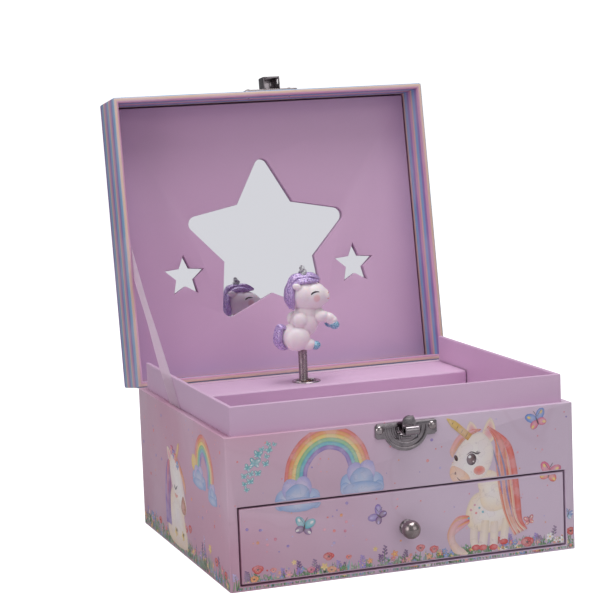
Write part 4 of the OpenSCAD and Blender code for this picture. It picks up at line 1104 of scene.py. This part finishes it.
def frontArt():
    art = newArt()
    rainbow(art, [(-61.6, 48), (-59.5, 60), (-52, 70), (-41, 74.8), (-29, 72.5), (-21, 65), (-17.2, 54)], 11)
    cloud(art, -66.3, -43.7, 35.1, 53.7)
    cloud(art, -33.3, -11.3, 39.1, 58.4)
    for u, v, r in ((-68.2, 66.4, 1.6), (-73.9, 64.7, 1.9), (-75.6, 60.8, 2.4), (-70.2, 60, 1.5),
                    (-79.3, 58.9, 1.7),
                    (-77.6, 55.8, 1.4), (-74.3, 55.8, 1.5), (-81.2, 55.1, 1.4), (-78.1, 52.4, 1.6),
                    (-81.1, 51.3, 1.2),
                    (-71.7, 67.1, 1.2), (-69.8, 63.4, 1.2), (-80.3, 48.6, 1.2), (-68.9, 69.4, 1.1),
                    (-65.7, 68.8, 1)):
        butterfly(art, u, v, r * 1.35, ("aqua", "teal", "white"), 3, rng.uniform(-0.6, 0.6), "aqua")
    butterfly(art, -52.4, 27.4, 6.0, ("teal", "plum", "white"), 5, -0.25)
    butterfly(art, -14.2, 28.6, 5.4, ("violet", "plum", "lavender"), 5, 0.9)
    butterfly(art, 70.6, 66.8, 6.4, ("blue", "rose", "yellow"), 5, 0.35)
    butterfly(art, 76.4, 39.6, 6.6, ("rose", "coral", "yellow"), 5, -0.3)
    butterfly(art, 65, 17.1, 3.2, ("red", "coral", "cream"), 5, 0.2)
    butterfly(art, 86.3, 17.7, 3.4, ("blue", "sky", "white"), 5, -0.4)
    for u, v, colour in ((-80.8, 29.7, "violet"), (-74.3, 28.6, "violet"), (-71, 21.2, "pink"),
                         (-75.8, 22.7, "orange"),
                         (-67, 23.4, "rose"), (-60.8, 19.4, "violet"), (-31, 27.7, "pink"),
                         (-37.3, 24, "coral"),
                         (-37.6, 18.1, "lavender"), (-33.4, 31.2, "orange"), (-30.4, 36.8, "violet"),
                         (-42.2, 25.2, "pink"), (-31.8, 23.3, "rose"), (11.9, 52.9, "coral"),
                         (14.4, 62.9, "violet")):
        dot(art, u, v, 0.75, paint(colour))
    for i in range(80):
        dot(art, rng.uniform(-88, 88), rng.uniform(14, 72), rng.uniform(0.25, 0.55),
            paint(rng.choice(("violet", "pink", "orange", "lavender", "coral"))), 1)
    pony(art)
    meadow(art, -90, 22, 190, 9.5)
    meadow(art, 22, 90, 130, 10.5)
    for u, v, r, colour in ((-76.3, 9.8, 2.6, "red"), (-40.6, 11.9, 2.5, "red"), (-78.3, 5.3, 2.0, "orange"),
                            (-39.3, 5.2, 2.2, "orange"), (-68.5, 8.6, 1.5, "coral"),
                            (-49.7, 6.5, 1.9, "rose"),
                            (6.8, 10.3, 2.2, "red"), (13.9, 8.9, 2.2, "red"), (46.8, 9.4, 2.6, "red"),
                            (63.7, 6.5, 3.2, "red"), (87.6, 9.3, 2.4, "red"), (-30.4, 10.4, 1.4, "coral")):
        poppy(art, u, v, r, colour)
    for u, v, r, colour in ((-42.9, 7.2, 1.7, "yellow"), (-58.1, 11.1, 1.2, "yellow"),
                            (-16.7, 12.6, 1.1, "yellow"),
                            (-6.7, 9, 1.7, "orange"), (58.8, 3.2, 1.7, "yellow"), (23.9, 6.5, 1.8, "blue"),
                            (20.1, 4.9, 1.5, "blue"), (57, 7, 1.5, "blue"), (52.2, 7.2, 1.5, "blue"),
                            (76.1, 7.7, 1.9, "white"), (82.9, 5.4, 1.8, "white"), (79.6, 5.8, 1.4, "white"),
                            (-23.5, 5.5, 1.7, "violet"), (-61, 5.5, 1.8, "pink"), (0.5, 5.5, 1.8, "pink")):
        petals(art, u, v, r, colour, 4)
    for u, v, high, colour in ((-81.7, 9.3, 6, "plum"), (-81.2, 6.9, 4, "plum"), (-55, 11.3, 7, "plum"),
                               (-48.3, 11.1, 7, "plum"), (-47.2, 8, 5, "plum"), (-12.2, 13.5, 9, "plum"),
                               (-13, 9.4, 6, "plum"), (-63, 8.8, 6, "violet"), (-23, 10.1, 6, "violet"),
                               (-55.8, 7.9, 5, "violet"), (-9.4, 4.5, 3, "violet"),
                               (-86.8, 8.8, 6, "lavender"),
                               (68.7, 10.1, 6, "violet"), (77.5, 12.6, 8, "plum"), (54.2, 11.5, 6, "violet"),
                               (71.5, 9, 5, "plum"), (-35, 9, 6, "violet"), (-2, 10, 6, "plum")):
        sprig(art, u, v, high, colour)
    for u, v in ((38.4, 3.2), (42.2, 2.1), (30, 2), (-20, 2), (-52, 2), (17, 2), (72, 2), (84, 1.5)):
        leafy(art, u, v, 5.5)
    return art


def pony(art):
    # a plain white foal with a coral mane, its head turned over its shoulder
    wash(art, [(37, 34), (45, 35), (53, 33), (57, 26), (56, 17), (48, 13.5), (39, 14.5), (33, 17), (31, 23),
               (33, 30)],
         paint("cream", 0.01), 5, tint(255, 248, 246, 0.01), 0.88)
    wash(art, [(38, 44), (47, 44), (51.5, 36), (54, 27), (46, 24), (40, 27), (38.5, 35)],
         paint("cream", 0.01), 6,
         tint(255, 246, 240, 0.01), 0.92)
    for path, width in (([(41.5, 20), (40.5, 13), (39.7, 7)], 4.4),
                        ([(46.2, 19), (46, 13), (45.4, 6.6)], 4.2),
                        ([(52.5, 20), (51.6, 13), (51, 8.6)], 4.2), ([(35.5, 18), (35, 11), (36, 7.4)], 4.0)):
        stroke(art, path, width, paint("cream", 0.01), 6, tint(255, 240, 232, 0.01), 0.9, 0.9)
        u, v = path[-1]
        oval(art, u, v - 0.4, 2.3, 1.5, paint("red", 0.03), 7, paint("coral"), 0, 10)
    # tail
    for k in range(7):
        bend = k * 1.5
        stroke(art, [(33, 23 - k * 0.5), (27 - bend * 0.4, 22 - k * 1.2), (22.5 + bend * 0.2, 15 - k * 0.9),
                     (25 + bend * 0.5, 7 - k * 0.3), (29 + bend * 0.3, 4.6)], 3.0,
               paint(("coral", "orange", "pink", "rose")[k % 4], 0.05), 6, paint("cream"))
    # mane behind the head and down the neck
    for k in range(11):
        t = k / 10
        out = 8.5 * t
        stroke(art, [(44 + out * 0.3, 66.5 - out * 0.2), (49 + out * 0.6, 59 - t * 2), (49.5 + out * 0.9, 46),
                     (51 + out * 0.9, 32), (54 + out * 0.7, 19), (57 + out * 0.8, 10.5 + out * 0.3)], 3.2,
               paint(("coral", "orange", "pink", "coral", "grey", "rose", "peach")[k % 7], 0.05), 7,
               paint(("peach", "coral", "cream")[k % 3]), 0.3, 0.1)
    for path in ([(48.2, 60), (52.2, 46), (53.5, 33), (56, 20)], [(46.5, 55), (49.5, 43), (51, 32)]):
        stroke(art, path, 0.9, paint("grey"), 8, paint("violet"))
    # ears, horn, head
    wash(art, [(32.4, 63), (34.6, 70), (38.4, 66), (38, 61.5)], paint("cream", 0.01), 7, paint("pink"), 0.85,
         3)
    wash(art, [(40.6, 62), (45.4, 71), (48.2, 64), (45.5, 58.5)], paint("cream", 0.01), 7, paint("pink"),
         0.85, 3)
    wash(art, [(40.5, 64), (33, 62), (28.2, 57.5), (25.6, 52), (23.4, 47), (23.6, 43), (27, 39.8),
               (32.5, 38.8),
               (38, 40), (43, 44), (46, 50), (46.2, 57)], tint(252, 238, 230, 0.01), 8,
         tint(255, 250, 248, 0.01), 0.9)
    wash(art, [(24.6, 49), (23.2, 45), (24.6, 41.6), (28.4, 39.4), (33.2, 39.2), (33.6, 42.6), (30, 46.5)],
         tint(250, 206, 178, 0.02), 9, tint(252, 220, 198, 0.02), 0.94)
    oval(art, 38.9, 45.3, 3.1, 2.3, tint(246, 178, 164, 0.02), 9, paint("coral"), 0, 12, 1.0)
    stroke(art, [(26.8, 43.2), (28.6, 41.4), (31.4, 41.2)], 0.5, paint("brown"), 10)
    oval(art, 26.2, 45.2, 0.45, 0.7, paint("brown"), 10)
    oval(art, 34.9, 51.2, 2.6, 3.0, paint("dark", 0.01), 10, tint(110, 74, 66), 0, 14, 0.9)
    dot(art, 34.0, 52.5, 0.85, tint(255, 255, 255, 0), 11)
    dot(art, 35.9, 50.0, 0.42, tint(240, 230, 230, 0), 11)
    stroke(art, [(32.4, 53.6), (35, 54.8), (38, 53.6), (39.6, 54.2)], 0.6, paint("dark"), 11)
    for k in range(3):
        stroke(art, [(37.0 + k * 0.6, 53.8), (38.6 + k * 0.7, 55.2 - k * 0.5)], 0.35, paint("dark"), 11,
               each=2)
    oval(art, 26.8, 52.6, 0.9, 1.6, paint("dark", 0.01), 10, tint(110, 74, 66), 0.3, 10)
    # forelock
    for k in range(6):
        stroke(art, [(40.4 - k * 0.6, 65.4), (35 - k * 1.1, 64.4 - k * 0.3), (29.6 - k * 0.9, 61 - k * 0.8),
                     (26 - k * 0.2, 55.6 - k * 0.5)], 2.4, paint(("coral", "orange", "pink")[k % 3], 0.05),
               10,
               paint("peach"))
    stroke(art, [(34.4, 62), (28.6, 67.2), (22.5, 72.6)], 3.6, paint("gold", 0.02), 11, paint("yellow"), 1,
           0.05)
    for k in range(4):
        t = 0.15 + k * 0.2
        u, v = 34.4 - 11.9 * t, 62 + 10.6 * t
        half = 1.7 * (1 - t * 0.8)
        stroke(art, [(u - half * 0.5, v - half), (u + half * 0.7, v + half * 0.8)], 0.35, paint("brown"), 12,
               each=2)
    for u, v in ((33.9, 26), (36, 28.3), (38.4, 26.6), (36.6, 24.2), (40.2, 24.4), (32.6, 22.1)):
        dot(art, u, v, 0.6, paint(rng.choice(("pink", "coral", "teal"))), 8)


def sideArt():
    # seen from the left: u runs from the back of the case to the front
    art = newArt()
    rainbow(art, [(25.5, 50), (29, 62), (36, 68.2), (44, 69), (52, 64), (57.5, 55), (57.5, 44)], 10.5)
    cloud(art, 22, 44, 41, 54, 4)
    cloud(art, 48, 62, 37, 49, 4)
    oval(art, 25.1, 53, 4.2, 4.2, paint("yellow"), 3, None, 0, 16)
    # neck, then the mane, then the head in profile
    wash(art, [(-27, 5), (-24, 24), (-14, 34), (-2, 30), (3, 18), (6, 4)], paint("cream", 0.01), 5,
         tint(255, 248, 246, 0.01), 0.9)
    for k in range(10):
        t = k / 9
        stroke(art, [(-12 - t * 4, 52 - t * 2), (-20 - t * 5, 45 - t * 3), (-22 - t * 7, 33 - t * 3),
                     (-24 - t * 6, 22), (-22 - t * 9, 11)], 3.6,
               paint(("coral", "plum", "pink", "violet", "coral", "rose")[k % 6], 0.05), 6, paint("violet"))
    wash(art, [(-20, 46), (-12, 50.5), (-4, 47), (1, 40), (4.5, 32), (7.4, 26), (5, 21.8), (-0.5, 21.4),
               (-6, 25),
               (-13, 29), (-19, 36)], tint(252, 238, 230, 0.01), 8, tint(255, 250, 248, 0.01), 0.9)
    wash(art, [(2, 31), (6.6, 26.4), (5.2, 22), (0.6, 21.8), (-2, 25)], tint(196, 140, 122, 0.02), 9,
         tint(222, 170, 150, 0.02), 0.9)
    wash(art, [(-22.5, 46), (-24.5, 52), (-19, 50.5), (-17, 46)], paint("cream", 0.01), 9, paint("pink"),
         0.85, 3)
    stroke(art, [(-8, 49), (-5, 53), (-2.1, 57.5)], 2.8, paint("gold"), 9, paint("yellow"), 1, 0.05)
    for k in range(6):
        stroke(art, [(-14 + k * 1.2, 50), (-6 + k * 1.4, 48 - k), (0 + k * 1.1, 43 - k),
                     (4 + k * 0.6, 38 - k)], 2.2,
               paint(("coral", "pink", "orange")[k % 3], 0.05), 10, paint("peach"))
    stroke(art, [(-13.5, 34), (-10.9, 32.2), (-7.6, 34.6)], 0.9, paint("dark"), 11)
    stroke(art, [(-13, 29.6), (-10.5, 28.6), (-7.5, 29.4)], 1.5, tint(246, 178, 164, 0.02), 10)
    dot(art, 4.6, 24.6, 0.5, paint("brown"), 11)
    for k, (u, v) in enumerate(((-15.8, 51.8), (-12.5, 50.2), (-9.2, 48.6), (-5.6, 45.6))):
        petals(art, u, v, 2.3, ("rose", "violet", "coral", "blue")[k], 12)
    meadow(art, -78, 78, 240, 11)
    for u, v, r, colour in ((-60.3, 7.8, 2.6, "blue"), (-13.7, 9.3, 2.4, "yellow"), (-1, 9.6, 2.4, "yellow"),
                            (46.8, 14.1, 2.2, "yellow"), (30, 7, 2.2, "violet"), (66, 8, 2.2, "rose")):
        petals(art, u, v, r, colour, 5)
    for u, v, r in ((5.6, 14.9, 2.3), (12.6, 16.4, 2.5), (-44, 9, 2.4), (57, 10, 2.6), (72, 7, 2.2)):
        poppy(art, u, v, r)
    for u, v, high in ((36.8, 18.1, 13), (33, 14, 10), (39.5, 13, 10), (-52, 12, 8), (-70, 11, 8),
                       (62, 13, 9)):
        sprig(art, u, v, high, rng.choice(("lavender", "violet", "plum")))
    for u, v, colour in ((-44, 69.8, "pink"), (-33.6, 66.6, "violet"), (-50.3, 55.8, "coral"),
                         (-47.6, 43, "violet"),
                         (-36.5, 43, "violet"), (-59.9, 30.9, "red"), (44.3, 32.1, "pink"),
                         (36.1, 27.2, "violet"),
                         (56.1, 27.3, "red"), (66.3, 34.7, "pink"), (17.5, 32.7, "orange"), (-68, 60, "pink"),
                         (-72, 46, "violet"), (70, 66, "coral")):
        dot(art, u, v, 0.85, paint(colour))
    for i in range(70):
        dot(art, rng.uniform(-77, 77), rng.uniform(13, 72), rng.uniform(0.25, 0.55),
            paint(rng.choice(("violet", "pink", "orange", "lavender", "coral"))), 1)
    return art


def plainArt(half, high, butterflies=5, ground=True):
    # the right side, the back and the lid's top: the same meadow, clouds and butterflies
    art = newArt()
    rainbow(art, [(-24, 34), (-20, 48), (-8, 57), (8, 57), (20, 48), (24, 34)], 10)
    cloud(art, -36, -14, 24, 40)
    cloud(art, 14, 36, 24, 40)
    for k in range(butterflies):
        a = k * 2.4
        butterfly(art, (half - 16) * math.cos(a) * 0.95, high * 0.55 + high * 0.3 * math.sin(a * 1.7),
                  rng.uniform(3, 6),
                  (("teal", "violet", "white"), ("rose", "coral", "yellow"),
                   ("blue", "lavender", "white"))[k % 3], 5,
                  rng.uniform(-0.7, 0.7))
    for i in range(int(half * 1.6)):
        dot(art, rng.uniform(-half, half), rng.uniform(13, high), rng.uniform(0.3, 0.7),
            paint(rng.choice(("violet", "pink", "orange", "lavender", "coral"))), 1)
    if ground:
        meadow(art, -half, half, int(half * 3), 10)
        for i in range(int(half / 5)):
            spot = rng.uniform(-half, half), rng.uniform(5, 11)
            if i % 2:
                poppy(art, *spot, rng.uniform(1.8, 2.8), rng.choice(("red", "coral", "orange")))
            else:
                petals(art, *spot, rng.uniform(1.6, 2.6), rng.choice(("violet", "blue", "yellow", "white")),
                       4)
            sprig(art, rng.uniform(-half, half), rng.uniform(8, 13), 8,
                  rng.choice(("plum", "violet", "lavender")))
    return art


def printArt(art, name, body, windows, place):
    # cut the flat art to each window, thicken every plate, and lay the result on the face
    result = bmesh.new()
    for u0, u1, v0, v1 in windows:
        cut = art["bm"].copy()
        for spot, normal in (((u0, 0, 0), (-1, 0, 0)), ((u1, 0, 0), (1, 0, 0)), ((0, 0, v0), (0, 0, -1)),
                             ((0, 0, v1), (0, 0, 1))):
            bmesh.ops.bisect_plane(cut, geom=cut.verts[:] + cut.edges[:] + cut.faces[:], dist=1e-5,
                                   plane_co=spot,
                                   plane_no=normal, clear_outer=True)
        joinMesh(result, cut)
    bmesh.ops.delete(result, geom=[vert for vert in result.verts if not vert.link_faces], context="VERTS")
    lift = result.verts.layers.float["lift"]
    made = bmesh.ops.extrude_face_region(result, geom=result.faces[:], use_keep_orig=True)["geom"]
    top = {item for item in made if isinstance(item, bmesh.types.BMVert)}
    for vert in result.verts:
        u, v = vert.co.x, vert.co.z
        vert.co = place(u, v, vert[lift] + 0.01 if vert in top else -0.03)
    obj = finishObject(name, result, body, [printedInk], smooth=False)
    return obj


art = frontArt()
onFront = lambda u, v, out: Vector((u, -halfD - out, v)) * mm
printArt(art, "printFront", "case",
         [(-88.9, 88.9, 41.2, 72.9), (-88.9, -85.6, 1.9, 41.2), (85.6, 88.9, 1.9, 41.2),
                                     (-88.9, 88.9, 0.7, 1.9)], onFront)
printArt(art, "printDrawer", "drawer", [(-83.4, 83.4, 4.0, 38.9)], onFront)
art["bm"].free()
art = sideArt()
printArt(art, "printLeft", "case", [(-77.4, 77.4, 0.7, 72.9)], lambda u, v,
         out: Vector((-halfW - out, -u, v)) * mm)
art["bm"].free()
art = plainArt(77, 70)
printArt(art, "printRight", "case", [(-77.4, 77.4, 0.7, 72.9)], lambda u, v,
         out: Vector((halfW + out, u, v)) * mm)
art["bm"].free()
art = plainArt(88, 56, 6)
printArt(art, "printBack", "case", [(-88.9, 88.9, 0.7, 44)], lambda u, v,
         out: Vector((-u, halfD + out, v)) * mm)
art["bm"].free()
art = plainArt(88, 150, 9)
lidTop = box["lidH"]
printArt(art, "printLid", "lid", [(-88.6, 88.6, 1.4, 155.8)],
         lambda u, v, out: (Vector((-u, halfD, box["h"])) + lidUp * v + lidOut * (lidTop + out)) * mm)
art["bm"].free()
print("art ready")


# figure
# millimetres about the post's axis with the base at zero; the foal faces +X

def onPost(x, y, z):
    return Vector((post["x"] + x, post["y"] + y, post["figure"] + z)) * mm


def ellipsoid(bm, centre, radii, lean=0.0, detail=4):
    made = bmesh.ops.create_icosphere(bm, subdivisions=detail, radius=1)["verts"]
    turn = Matrix.Rotation(math.radians(lean), 3, "Y")
    for vert in made:
        vert.co = onPost(*(turn @ Vector([c * r for c, r in zip(vert.co, radii)]) + Vector(centre)))


def sweep(bm, path, radii, flat=1.0, around=14, grooves=0, depth=0.0, twist=0.0, each=6):
    # closed roll of hair or horn along a curve; grooves run along it and can twist
    curve = smoothPath(path, each)
    rows, total = [], len(curve) - 1
    for i, p in enumerate(curve):
        t = i / total
        place = t * (len(radii) - 1)
        low = min(int(place), len(radii) - 2)
        r = radii[low] + (radii[low + 1] - radii[low]) * (place - low)
        ahead = (curve[min(i + 1, total)] - curve[max(i - 1, 0)]).normalized()
        side = ahead.cross(Vector((0, 1, 0))).normalized()
        up = Vector((0, 1, 0)) - ahead * ahead.y
        row = []
        for k in range(around):
            a = math.tau * k / around
            ridge = 1 + depth * math.cos(grooves * a + twist * t)
            place = p + side * r * ridge * math.cos(a) + up * r * flat * ridge * math.sin(a)
            row.append(bm.verts.new(onPost(*place)))
        rows.append(row)
    for a, b in zip(rows, rows[1:]):
        for k in range(around):
            bm.faces.new((a[k], a[(k + 1) % around], b[(k + 1) % around], b[k]))
    for row, end in ((rows[0], curve[0]), (rows[-1], curve[-1])):
        tip = bm.verts.new(onPost(*end))
        for k in range(around):
            bm.faces.new((row[k], row[(k + 1) % around], tip))


def remeshed(name, bm, size, smoothing=3):
    # merge overlapping closed shapes into one skin
    mesh = bpy.data.meshes.new(name)
    bmesh.ops.recalc_face_normals(bm, faces=bm.faces)
    bm.to_mesh(mesh)
    bm.free()
    obj = bpy.data.objects.new(name, mesh)
    bpy.context.scene.collection.objects.link(obj)
    change = obj.modifiers.new("skin", "REMESH")
    change.mode = "VOXEL"
    change.voxel_size = size * mm
    skin = bpy.data.meshes.new_from_object(obj.evaluated_get(bpy.context.evaluated_depsgraph_get()))
    bpy.data.objects.remove(obj)
    out = bmesh.new()
    out.from_mesh(skin)
    for _ in range(smoothing):
        bmesh.ops.smooth_vert(out, verts=out.verts, factor=0.5, use_axis_x=True, use_axis_y=True,
                              use_axis_z=True)
    return out


bodyShapes = [
    ((4.8, 0, 29.0), (10.4, 7.9, 8.0), 0), ((11.4, 0, 28.6), (4.9, 5.4, 4.9), 0),
    ((1.4, 0, 30), (7.6, 7.7, 7.6), 0),
    ((2.6, 0, 20), (6.2, 5.6, 6), 0), ((1.6, 0, 15), (7.6, 6.6, 7.8), -12),
    ((7.4, 0, 18.6), (5.6, 5.0, 5.4), 0),
    ((-4.2, 0, 7.8), (7.8, 7.2, 7.4), 0),
]
pairedShapes = [
    ((-3.2, 5.0, 34.9), (3.0, 1.3, 1.9), 20), ((-4.0, 4.0, 7.0), (7.2, 4.8, 6.7), -14),
    ((1.6, 4.5, 3.6), (4.6, 3.1, 3.2), 0),
    ((-2.2, 4.6, 16.8), (4.5, 2.9, 4.1), 22), ((10.2, 3.7, 18.0), (4.4, 3.0, 3.2), -6),
    ((14.2, 3.8, 17.0), (3.8, 2.9, 2.9), 20),
    ((16.2, 3.8, 15.4), (3.0, 2.7, 2.8), 40),
]
hoofShapes = [((17.3, 3.8, 13.0), (2.9, 2.85, 2.5), 25), ((5.9, 4.5, 2.8), (2.9, 2.7, 2.45), 0)]


def buildFigure():
    bm = bmesh.new()
    for centre, radii, tilt in bodyShapes:
        ellipsoid(bm, centre, radii, tilt)
    for side in (-1, 1):
        for (x, y, z), radii, tilt in pairedShapes:
            ellipsoid(bm, (x, side * y, z), radii, tilt, 3)
    bm = remeshed("figure", bm, 0.3, 5)
    bm.normal_update()
    crease, blush = bm.verts.layers.float.new("crease"), bm.verts.layers.float.new("blush")
    # how deep each point lies in a hollow, smoothed; the resin material paints shade there
    raw = {}
    for vert in bm.verts:
        around = [edge.other_vert(vert).co for edge in vert.link_edges]
        away = sum(around, Vector()) / len(around) - vert.co
        raw[vert] = max(0.0, away.dot(vert.normal) / (0.3 * mm) * 9)
    for _ in range(6):
        raw = {vert: sum((raw[edge.other_vert(vert)] for edge in vert.link_edges),
                         raw[vert]) / (len(vert.link_edges) + 1)
               for vert in bm.verts}
    for vert in bm.verts:
        local = vert.co / mm - Vector((post["x"], post["y"], post["figure"]))
        vert[crease] = min(1.0, raw[vert])
        far = math.hypot(local.x - 6.7, local.z - 28.4)
        vert[blush] = max(0.0, min(0.55, (2.4 - far) / 1.8)) if abs(local.y) > 3 else 0.0
    tree = BVHTree.FromBMesh(bm)
    obj = finishObject("figureBody", bm, "figure", [castResin])
    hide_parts("figure_body")

    hooves = bmesh.new()
    for side in (-1, 1):
        for (x, y, z), radii, tilt in hoofShapes:
            ellipsoid(hooves, (x, side * y, z), radii, tilt, 3)
    obj = finishObject("figureHooves", hooves, "figure", [blueGlitter])
    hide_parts("figure_hooves")

    hair = bmesh.new()
    sweep(hair, [(-6.2, 0, 35.0), (-3.4, 0, 38.6), (1.6, 0, 39.4), (6.8, 0.4, 39.4), (11.6, 0.8, 37.6)],
          [1.4, 2.4, 2.3, 2.1, 0.5], 1.5, 20, 5, 0.14, 1.6)
    sweep(hair, [(-4.6, 0, 37.2), (-6.4, 0, 33.4), (-6.9, 0, 28.6), (-5.8, 0, 23.4)], [1.5, 2.0, 2.0, 0.8],
          1.5, 20, 5,
          0.14, 1.2)
    for side in (-1, 1):
        sweep(hair, [(-5.8, side * 2.6, 34.6), (-1.6, side * 3.4, 37.0), (3.6, side * 3.6, 37.6),
                     (9.6, side * 2.6, 37.0)],
              [1.0, 1.9, 1.8, 0.4], 1.1, 16, 4, 0.16, 1.4)
        sweep(hair, [(-4.2, side * 2.8, 36.4), (-6.0, side * 3.4, 32.0), (-6.2, side * 3.2, 27.4),
                     (-5.0, side * 2.2, 22.6)],
              [1.0, 1.7, 1.7, 0.5], 1.1, 16, 4, 0.16, 1.4)
        sweep(hair, [(-9.4, side * 1.0, 12.6), (-12.0, side * 1.5, 13.2), (-13.4, side * 1.6, 9.6),
                     (-13.6, side * 1.5, 5.6),
                     (-11.6, side * 1.2, 2.6), (-8.6, side * 0.8, 2.0)], [1.0, 1.7, 1.8, 1.8, 1.5, 0.6], 1.1,
              16, 4, 0.16, 1.8)
    obj = finishObject("figureMane", hair, "figure", [lilacGlitter])
    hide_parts("figure_mane")

    horn = bmesh.new()
    sweep(horn, [(2.0, 0, 40.0), (1.75, 0, 42.4), (1.4, 0, 44.4), (1.0, 0, 45.9)], [2.3, 1.95, 1.3, 0.45],
          1.0, 24, 2,
          0.2, 16, 14)
    obj = finishObject("figureHorn", horn, "figure", [silverPaint])
    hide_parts("figure_horn")

    eyes, mouths = bmesh.new(), bmesh.new()

    def onSkin(x, z, side, sink=0.12):
        start = onPost(x, side * 14, z)
        hit = tree.ray_cast(start, Vector((0, -side, 0)))[0]
        y = hit.y / mm - post["y"] if hit else side * 4
        return (x, y - side * sink, z)
    for side in (-1, 1):
        sweep(eyes, [onSkin(x, z, side) for x, z in ((3.5, 30.4), (4.4, 31.3), (6.2, 31.8), (8.3, 31.6))],
              [0.28, 0.5, 0.5, 0.26], 0.7, 10)
        for x, z in ((4.3, 30.7), (5.6, 31.2), (7.0, 31.1)):
            sweep(eyes, [onSkin(x, z + 0.3, side), onSkin(x - 0.4, z - 0.6, side)], [0.2, 0.12], 0.7, 8,
                  each=3)
        sweep(mouths, [onSkin(x, z, side, 0.05) for x, z in ((13.6, 27.6), (14.4, 27.3), (15.0, 27.9))],
              [0.16, 0.26, 0.16], 0.8, 8)
        sweep(mouths, [onSkin(14.4, 30.3, side, 0.1), onSkin(15.2, 30.4, side, 0.1)], [0.4, 0.35], 0.8, 10,
              each=3)
    finishObject("figureEyes", eyes, "figure", [eyePaint])
    finishObject("figureMouth", mouths, "figure", [mouthPaint])


buildFigure()
print("figure ready")

# set, camera and light

view = {"place": (-0.35678, -0.97245, 0.26027), "azimuth": -18.94, "elevation": 7.48, "roll": -2.22,
        "lens": 122.2}


def buildStage():
    bm = bmesh.new()
    grid = [(-3, -2.4, 0), (3, -2.4, 0), (3, 2.0, 0), (-3, 2.0, 0)]
    base = bm.faces.new([bm.verts.new(p) for p in grid])
    far = [edge for edge in base.edges if all(vert.co.y > 1.9 for vert in edge.verts)]
    bmesh.ops.spin(bm, geom=[far[0], *far[0].verts], cent=(0, 2.0, 1.2), axis=(1, 0, 0), angle=math.pi / 2,
                   steps=24)
    bmesh.ops.recalc_face_normals(bm, faces=bm.faces)
    if base.normal.z < 0:
        bmesh.ops.reverse_faces(bm, faces=bm.faces)
    mesh = bpy.data.meshes.new("floor")
    bm.to_mesh(mesh)
    bm.free()
    mesh.shade_smooth()
    floor = bpy.data.objects.new("floor", mesh)
    bpy.context.scene.collection.objects.link(floor)
    made, tree, output, here = material("floorPaper")
    path = put(tree, "LightPath").outputs["Is Camera Ray"]
    fine = put(tree, "TexNoise", {"Vector": here, "Scale": 14.0, "Detail": 4.0}).outputs["Fac"]
    tone = blendInk(tree, maths(tree, "MULTIPLY", fine, 0.3), (0.52, 0.52, 0.53), (0.48, 0.48, 0.49))
    shader = principled(tree, output, tone, Roughness=0.8)
    shader.inputs["Emission Color"].default_value = (1, 1, 1, 1)
    tree.links.new(maths(tree, "MULTIPLY", path, 0.95), shader.inputs["Emission Strength"])
    mesh.materials.append(made)
    return floor


def areaLight(name, place, target, size, energy, colour=(1, 1, 1)):
    data = bpy.data.lights.new(name, "AREA")
    data.shape = "RECTANGLE"
    data.size, data.size_y = size
    data.energy = energy
    data.color = colour
    lamp = bpy.data.objects.new(name, data)
    bpy.context.scene.collection.objects.link(lamp)
    lamp.location = place
    lamp.rotation_euler = (Vector(target) - Vector(place)).to_track_quat("-Z", "Y").to_euler()
    return lamp


def buildCamera():
    a, e, r = (math.radians(view[key]) for key in ("azimuth", "elevation", "roll"))
    back = Vector((math.sin(a) * math.cos(e), -math.cos(a) * math.cos(e), math.sin(e)))
    right = Vector((math.cos(a), math.sin(a), 0))
    up = back.cross(right)
    across = right * math.cos(r) + up * math.sin(r)
    above = up * math.cos(r) - right * math.sin(r)
    camera = bpy.data.objects.new("camera", bpy.data.cameras.new("camera"))
    bpy.context.scene.collection.objects.link(camera)
    camera.data.lens = view["lens"]
    camera.data.sensor_width = 36
    turn = Matrix((across, above, back)).transposed().to_4x4()
    camera.matrix_world = Matrix.Translation(view["place"]) @ turn
    bpy.context.scene.camera = camera
    return camera


def buildWorld():
    world = bpy.data.worlds.new("studio")
    bpy.context.scene.world = world
    world.use_nodes = True
    tree = world.node_tree
    tree.nodes.clear()
    path = put(tree, "LightPath").outputs["Is Camera Ray"]
    soft, plain = put(tree, "Background", {"Color": (0.95, 0.96, 1.0), "Strength": 0.27}), put(tree,
                                                                                               "Background", {
        "Color": (1.0, 1.0, 1.0), "Strength": 1.0})
    both = put(tree, "MixShader", {0: path, 1: soft.outputs[0], 2: plain.outputs[0]})
    put(tree, "OutputWorld", {"Surface": both.outputs[0]})


buildWorld()
lights = [
    areaLight("softboxRight", (0.62, -1.25, 0.62), (0, 0, 0.14), (1.1, 0.9), 2.5),
    areaLight("softboxLeft", (-1.3, -0.5, 0.5), (0, 0, 0.08), (0.7, 0.9), 5.0, (1.0, 0.97, 0.98)),
    areaLight("softboxTop", (0.15, -0.1, 1.3), (0, 0, 0.1), (1.0, 0.8), 11.0),
]
buildStage()
buildCamera()
bpy.context.scene.view_settings.view_transform = "Standard"

print("scene ready")
